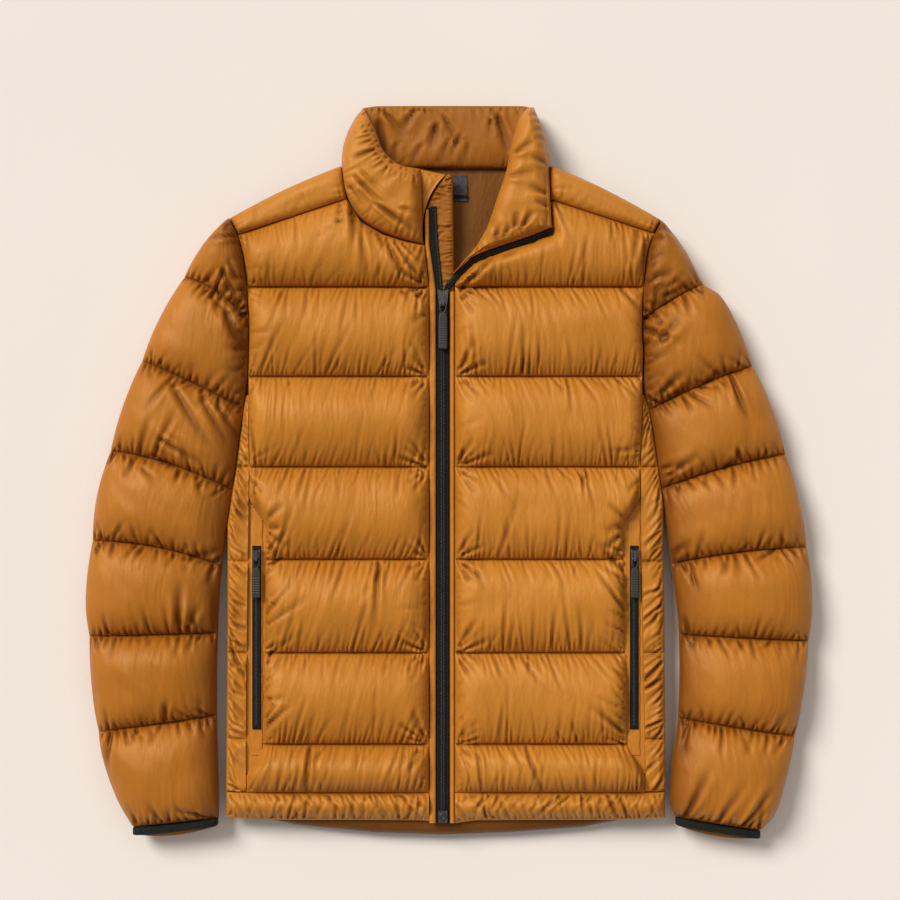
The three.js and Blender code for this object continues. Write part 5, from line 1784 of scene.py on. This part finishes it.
def torus(centre: tuple[float, float, float], wide: float, long: float,
          cord: float) -> Shape:
    """Oval ring that lies flat.

    Args:
        centre: its middle.
        wide: half-width, to the middle of the cord.
        long: half-length, to the middle of the cord.
        cord: radius of the cord.

    Returns:
        Points and faces.
    """
    turns, sides = 32, 10
    a = np.linspace(0, 2 * np.pi, turns, endpoint=False)[:, None]
    b = np.linspace(0, 2 * np.pi, sides, endpoint=False)[None, :]
    x = centre[0] + (wide + cord * np.cos(b)) * np.cos(a)
    y = centre[1] + (long + cord * np.cos(b)) * np.sin(a)
    z = centre[2] + cord * np.sin(b) + 0 * a
    points = np.stack([x, y, z], -1).reshape(-1, 3)
    faces = []
    for i in range(turns):
        for j in range(sides):
            i2, j2 = (i + 1) % turns, (j + 1) % sides
            faces.append([i * sides + j, i2 * sides + j, i2 * sides + j2, i * sides + j2])
    return points, orient(points, faces)


def rounded_copy(node: str, name: str, slot: Slot, body: str, bevel: float) -> bpy.types.Object:
    """A solid's shape with its corners rounded.

    Args:
        node: the solid.
        name: name of the piece.
        slot: its material slot.
        body: body that it rides on.
        bevel: radius of the rounding, in mm.

    Returns:
        The piece.
    """
    source = frame["nodes"][node]
    mesh = source.data.copy()
    piece = bpy.data.objects.new(name, mesh)
    piece.matrix_world = source.matrix_world
    bpy.context.scene.collection.objects.link(piece)
    modifier = piece.modifiers.new("round", "BEVEL")
    modifier.width = bevel * MM
    modifier.segments = 3
    modifier.angle_limit = math.radians(30)
    modifier.harden_normals = False
    graph = bpy.context.evaluated_depsgraph_get()
    piece.data = bpy.data.meshes.new_from_object(piece.evaluated_get(graph))
    piece.modifiers.clear()
    piece.data.name = name
    piece.data.shade_smooth()
    piece.data.set_sharp_from_angle(angle=math.radians(SHARP_METAL))
    return dress(piece, slot, [node], body)


@dataclass
class MainZip:
    """Guard, facing strips, tapes, coil, slider, pull tab and bottom stop of the front zip."""

    guard_pucker: Pucker = Pucker(pitch=3.8, length=13.0, depth=2.4, width=1.0, fan=14.0)
    pitch: float = 1.5
    left_tape: tuple[float, float] = (8.6, 663.0)
    right_tape: tuple[float, float] = (6.6, 725.0)
    open_tooth: tuple[float, float, float] = (0.6, 1.3, 0.7)
    closed_tooth: tuple[float, float, float] = (0.62, 1.4, 0.75)

    def build(self) -> None:
        """Makes the zip's pieces."""
        self.guard()
        self.lips()
        self.tapes()
        self.coil()
        rounded_copy("zip_slider", "zip_slider_body", Slot.METAL, ROOT_BODY, 0.6)
        rounded_copy("zip_box", "zip_box_body", Slot.METAL, ROOT_BODY, 1.5)
        low, high = (np.array(corner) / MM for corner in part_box("zip_box"))
        ring = torus((ZIP_CENTRE, 0.5 * (low[1] + high[1]), high[2] - 0.2), 2.9, 2.9, 1.3)
        dress(make_object("zip_box_ring", ring), Slot.PULL)
        PullTab("zip_pull", "main_pull", ZIP_CENTRE).build()

    def guard(self) -> None:
        """Makes the padded strip behind the open zip, gathered across."""
        shown = np.linspace(321.5, 180.0, round(150 / ACROSS))
        places = np.concatenate([shown, np.linspace(178.0, ZIP_BOTTOM, 60)])
        skin = ribbon(places, GUARD_LEFT.straight, GUARD_RIGHT.straight, OVER_FOOT, GUARD_THICK, 26, 5.0)
        rng = np.random.default_rng(91)
        open_part = places > 150
        creases: list[Crease] = []
        for column, into in ((0, (1, 0)), (-1, (-1, 0))):
            creases += self.guard_pucker.along(skin.column(column)[open_part], into, rng)
        lay_creases(skin, creases, edge_mask(skin))
        skin.z = np.where(skin.y < 200, np.minimum(skin.z, OVER_FOOT + GUARD_THICK), skin.z)
        sewn(skin, "zip_guard_strip", ["zip_guard"], finish=SHADED_INNER_NYLON)

    def lips(self) -> None:
        """Makes the facing strips on both sides of the coil."""
        rng = np.random.default_rng(92)
        places = np.linspace(283.0, ZIP_BOTTOM, round(660 / STEP))
        left = ribbon(places, GUARD_LEFT.straight, LIP_RIGHT.straight, ON_GUARD, LIP_THICK, 12, 2.6)
        places = np.linspace(195.0, ZIP_BOTTOM, round(570 / STEP))
        right = ribbon(places, upright(1.1), upright(6.1), ON_GUARD, LIP_THICK, 10, 2.4)
        for name, skin in (("placket_left", left), ("placket_right", right)):
            wave = Lattice(93).at(skin.x, skin.y, 9, 7) * 0.5 + rng.normal(0, 0.02, skin.x.shape)
            skin.push(wave * edge_mask(skin))
            sewn(skin, f"{name}_strip", [name])

    def tapes(self) -> None:
        """Makes the two tapes."""
        places = np.linspace(287.0, ZIP_BOTTOM, 330)
        edge = lambda y: LIP_RIGHT.straight(y) + GAP
        skin = ribbon(places, edge, TAPE_RIGHT.straight, ON_GUARD, TAPE_THICK, 9, 1.2)
        cut_strip(skin.mesh_data(), "zip_tape_left_weave", Slot.TAPE, "zip_tape_left", *self.left_tape)
        rows = list(FREE_TAPE) + [((-6.2, ZIP_TOP - 1), (0.5, ZIP_TOP - 1), ON_GUARD)]
        rows += [((-6.2, y), (0.5, y), ON_GUARD) for y in np.linspace(150, ZIP_BOTTOM, 12)]
        t = np.linspace(0, 1, 10)
        k = np.linspace(0, len(rows) - 1, 420)
        table = np.array([[*inner, *outer, z] for inner, outer, z in rows])
        line = np.stack([np.interp(k, np.arange(len(rows)), table[:, c]) for c in range(5)], -1)
        x = lerp(line[:, 0:1], line[:, 2:3], t[None, :])
        y = lerp(line[:, 1:2], line[:, 3:4], t[None, :])
        foot = line[:, 4:5] + 0 * x
        top = foot + TAPE_THICK * lerp(0.5, 1.0, rise(np.minimum(t, 1 - t), 0.2))[None, :]
        shape = closed_shell(Skin(x, y, top, foot), foot)
        cut_strip(shape, "zip_tape_right_weave", Slot.TAPE, "zip_tape_right", *self.right_tape)

    def coil(self) -> None:
        """Makes the closed chain, and the coil along each open stretch of tape."""
        parts = []
        for side in (-1, 1):
            x = ZIP_CENTRE + side * 1.25
            shift = self.pitch / 2 if side > 0 else 0.0
            path = np.array([[x, CHAIN_TOP - shift, ON_TAPE + 0.75], [x, CHAIN_BOTTOM, ON_TAPE + 0.75]])
            parts.append(capsule_row(path, self.pitch, self.closed_tooth, side * 8.0))
        y = np.linspace(284, 198, 12)
        open_left = np.stack([TAPE_RIGHT.straight(y) - 1.4, y, 0 * y + ON_GUARD + TAPE_THICK + 0.1], -1)
        parts.append(capsule_row(open_left, self.pitch, self.open_tooth))
        inner = np.array([[*row[0], row[2]] for row in FREE_TAPE])
        outer = np.array([[*row[1], row[2]] for row in FREE_TAPE])
        open_right = lerp(inner, outer, 0.3)
        open_right[:, 2] = inner[:, 2] + TAPE_THICK + 0.1
        parts.append(capsule_row(open_right, self.pitch, self.open_tooth))
        dress(make_object("zip_coil_teeth", merge_parts(parts)), Slot.COIL, ["zip_chain"])


@dataclass
class PullTab:
    """Cord ring and ribbed tab of one slider."""

    node: str
    body: str
    middle: float

    def build(self) -> None:
        """Makes the ring and the tab as one piece over the solid's box."""
        low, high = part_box(self.node)
        top, foot = high[1] / MM, low[1] / MM
        height = 0.5 * (low[2] + high[2]) / MM
        half = 0.5 * (high[0] - low[0]) / MM
        ring = torus((self.middle, top - 6.6, height), 0.86 * half - 1.0, 5.6, 1.0)
        tab = self.tab(top - 12.2, foot, height, half)
        shape = merge_parts([ring, tab])
        dress(make_object(f"{self.node}_tab", shape), Slot.PULL, [self.node], self.body)

    def tab(self, top: float, foot: float, height: float, half: float) -> Shape:
        """Flat moulded tab with cross ribs and rounded corners."""
        rows, columns = 60, 11
        v = np.linspace(0, 1, rows)[:, None]
        u = np.linspace(-1, 1, columns)[None, :]
        y = lerp(top, foot, v) + 0 * u
        ends = np.minimum(lerp(0.78, 1.0, ease(v / 0.2)), lerp(0.8, 1.0, rise(1 - v, 0.06)))
        x = self.middle + half * ends * u
        edge = rise(1 - np.abs(u), 0.25) * rise(np.minimum(v, 1 - v) + 0.004, 0.03)
        ribs = 0.22 * np.clip(np.sin(v * (top - foot) * 2.4), -0.4, 1.0) * ease((v - 0.25) / 0.06)
        ribs = ribs * ease((0.9 - v) / 0.04) * rise(1 - np.abs(u), 0.3)
        thick = 0.35 + 0.8 * edge + ribs
        skin = Skin(x, y, height + thick, height - thick)
        return closed_shell(skin, height - thick)


@dataclass
class PocketZip:
    """Zip of one pocket, on its welt: tape, coil, slider and pull tab."""

    side: Side
    middle_y: float = -176.5
    zip_length: float = 197.0
    welt_length: float = 253.0
    half_tape: float = 4.75
    half_welt: float = 6.5

    def build(self) -> None:
        """Makes the pocket's pieces."""
        name = f"pocket_{self.side.name}"
        x = self.side.sign * self.side.pocket_out
        half = self.welt_length / 2
        places = np.linspace(self.middle_y + half, self.middle_y - half, 130)
        edge = lambda y, side: x + side * self.half_welt + 0.25 * np.sin(y * 0.31 + side)
        skin = ribbon(places, lambda y: edge(y, -1), lambda y: edge(y, 1), ON_FRONT - 0.3, 1.3, 12, 2.4)
        skin.push(Lattice(95).at(skin.x, skin.y, 6, 5) * 0.35 * edge_mask(skin))
        width, length = 2 * self.half_welt, self.welt_length
        cut_strip(skin.mesh_data(), f"{name}_welt_strip", Slot.SHELL, f"{name}_welt", width, length)
        foot = ON_FRONT + WELT_THICK + GAP
        half = self.zip_length / 2
        places = np.linspace(self.middle_y + half, self.middle_y - half, 110)
        left, right = upright(x - self.half_tape), upright(x + self.half_tape)
        skin = ribbon(places, left, right, foot, TAPE_THICK, 9, 1.4)
        width, length = 2 * self.half_tape, self.zip_length
        cut_strip(skin.mesh_data(), f"{name}_zip_tape", Slot.TAPE, f"{name}_zip", width, length)
        on_tape = foot + TAPE_THICK
        path = np.array([[x, self.middle_y + half - 12, on_tape], [x, self.middle_y - half + 4, on_tape]])
        dress(make_object(f"{name}_coil", capsule_row(path, 1.4, (0.55, 1.7, 0.6))), Slot.COIL)
        rounded_copy(f"{name}_slider", f"{name}_slider_body", Slot.METAL, ROOT_BODY, 0.5)
        PullTab(f"{name}_pull", f"{self.side.name}_pocket_pull", x).build()


@dataclass
class HangerLoop:
    """Folded tape in the neck, with a black band near its lower end."""

    def build(self) -> None:
        """Makes the loop and its band."""
        foot = NECK_FLOOR + GAP
        places = np.linspace(323.0, 295.0, 40)
        skin = ribbon(places, upright(4.5), upright(20.5), foot, 1.8, 17, 1.5)
        skin.z = skin.z + 0.25 * np.sin(skin.y * 0.35)
        cut_strip(skin.mesh_data(), "hanger_loop_tape", Slot.LOOP, "hanger_loop", 16.0, 28.0, "folded")
        places = np.linspace(301.5, 298.2, 5)
        skin = ribbon(places, upright(4.2), upright(20.8), foot + 1.2, 1.3, 9, 0.6)
        dress(make_object("hanger_loop_band", skin.mesh_data()), Slot.TAPE)


@dataclass
class Stitching:
    """Rows of stitches in the quilt lines and along the seams."""

    pitch: float = 4.2
    half_length: float = 1.45
    radius: float = 0.36

    def row(self, path: Sequence[tuple[float, float, float]]) -> Shape:
        """Stitches along one line."""
        line = np.array(path, float)
        return capsule_row(line, self.pitch, (self.half_length, self.radius, self.radius), sides=5)

    def build(self) -> None:
        """Makes the stitches of both sides."""
        for side in SIDES:
            parts = []
            for y in FRONT_LINES[:-1]:
                a = side.front_out(np.array(y)) - (BED_WIDTH if BED_BOTTOM < y < BED_TOP else 0.5)
                b = side.zip_edge.straight(y) + 0.5
                z = OVER_FOOT + STITCH - 1.0
                parts.append(self.row([(side.sign * a, y, z), (side.sign * b, y, z)]))
            sleeve = Sleeve(side)
            for block in range(1, len(side.sleeve_rows) - 1):
                u = np.linspace(0.06, 0.94, 24)
                k = np.full(u.shape, block)
                out, y, from_outer, from_inner = sleeve.point(k, 0 * u, u)
                z = OVER_FOOT + sleeve.height(k, 0 * u, from_outer, from_inner) - 1.0
                parts.append(self.row(np.stack([side.sign * out, y, z], -1)))
            dress(make_object(f"stitches_{side.name}", merge_parts(parts)), Slot.SHELL, finish=THREAD)


def finish_cad_nodes() -> None:
    """Gives each solid that still shows the finish of its slot."""
    slots = {entry["node"]: entry["material_slot"] for entry in frame["record"]["subparts"]}
    for name, node in frame["nodes"].items():
        node.data.materials.clear()
        node.data.materials.append(material_of(FINISHES[Slot(slots[name])]))


@dataclass(frozen=True)
class Studio:
    """Pale floor, soft light from the upper left, and a camera straight above."""

    lens: float = 85.0
    sensor: float = 36.0
    view_width: float = 972.0
    plane: float = 25.0
    centre: tuple[float, float] = (1.1, 24.8)

    def build(self) -> None:
        """Makes the floor, the lights and the camera."""
        self.floor()
        self.world()
        self.sun("key", (-0.85, 0.8, 1.18), 24.0, 3.0, (1.0, 0.965, 0.92))
        self.sun("top", (0.2, 0.5, 1.0), 50.0, 0.35, (1.0, 0.98, 0.95))
        self.camera()

    def floor(self) -> None:
        """Makes the floor that the jacket lies on."""
        bpy.ops.mesh.primitive_plane_add(size=8.0, location=(0.0, 0.0, -0.0002))
        floor = bpy.context.object
        floor.name = "floor"
        shader = Shader("floor_paper")
        tone = shader.ramp(shader.noise(3.0, 2.0), (0.80, 0.742, 0.69), (0.81, 0.752, 0.70))
        shader.feed("Base Color", tone)
        shader.set(Roughness=0.95, Specular_IOR_Level=0.1)
        floor.data.materials.append(shader.material)

    def world(self) -> None:
        """Makes the even light of the room."""
        world = bpy.data.worlds.new("room")
        world.use_nodes = True
        bpy.context.scene.world = world
        background = world.node_tree.nodes["Background"]
        background.inputs["Color"].default_value = (1.0, 0.985, 0.96, 1.0)
        background.inputs["Strength"].default_value = 0.32

    def sun(self, name: str, towards: tuple[float, float, float], spread: float, strength: float,
            colour: tuple[float, float, float]) -> None:
        """Adds a light that falls evenly from one direction.

        Args:
            name: name of the light.
            towards: direction that leads to it.
            spread: how wide it looks, in degrees.
            strength: its strength.
            colour: its colour.
        """
        data = bpy.data.lights.new(name, "SUN")
        data.angle = math.radians(spread)
        data.energy = strength
        data.color = colour
        lamp = bpy.data.objects.new(name, data)
        x, y, z = towards
        lamp.rotation_euler = (math.atan2(math.hypot(x, y), z), 0.0, math.atan2(y, x) + math.pi / 2)
        bpy.context.scene.collection.objects.link(lamp)

    def camera(self) -> None:
        """Adds the camera, straight above the jacket."""
        data = bpy.data.cameras.new("camera")
        data.lens = self.lens
        data.sensor_width = self.sensor
        camera = bpy.data.objects.new("camera", data)
        height = self.plane + self.view_width * self.lens / self.sensor
        camera.location = (self.centre[0] * MM, self.centre[1] * MM, height * MM)
        bpy.context.scene.collection.objects.link(camera)
        bpy.context.scene.camera = camera
        bpy.context.scene.view_settings.view_transform = "Standard"


def main() -> None:
    """Builds the jacket piece by piece, then the studio."""
    logging.basicConfig(level=logging.INFO, format="%(message)s")
    finish_cad_nodes()
    Back().build()
    Collar().build()
    for side in SIDES:
        QuiltedFront(side).build()
        SidePanel(side).build()
        Yoke(side).build()
        HemBand(side).build()
        Sleeve(side).build()
        PocketZip(side).build()
    MainZip().build()
    HangerLoop().build()
    Stitching().build()
    Studio().build()


if __name__ == "__main__":
    main()
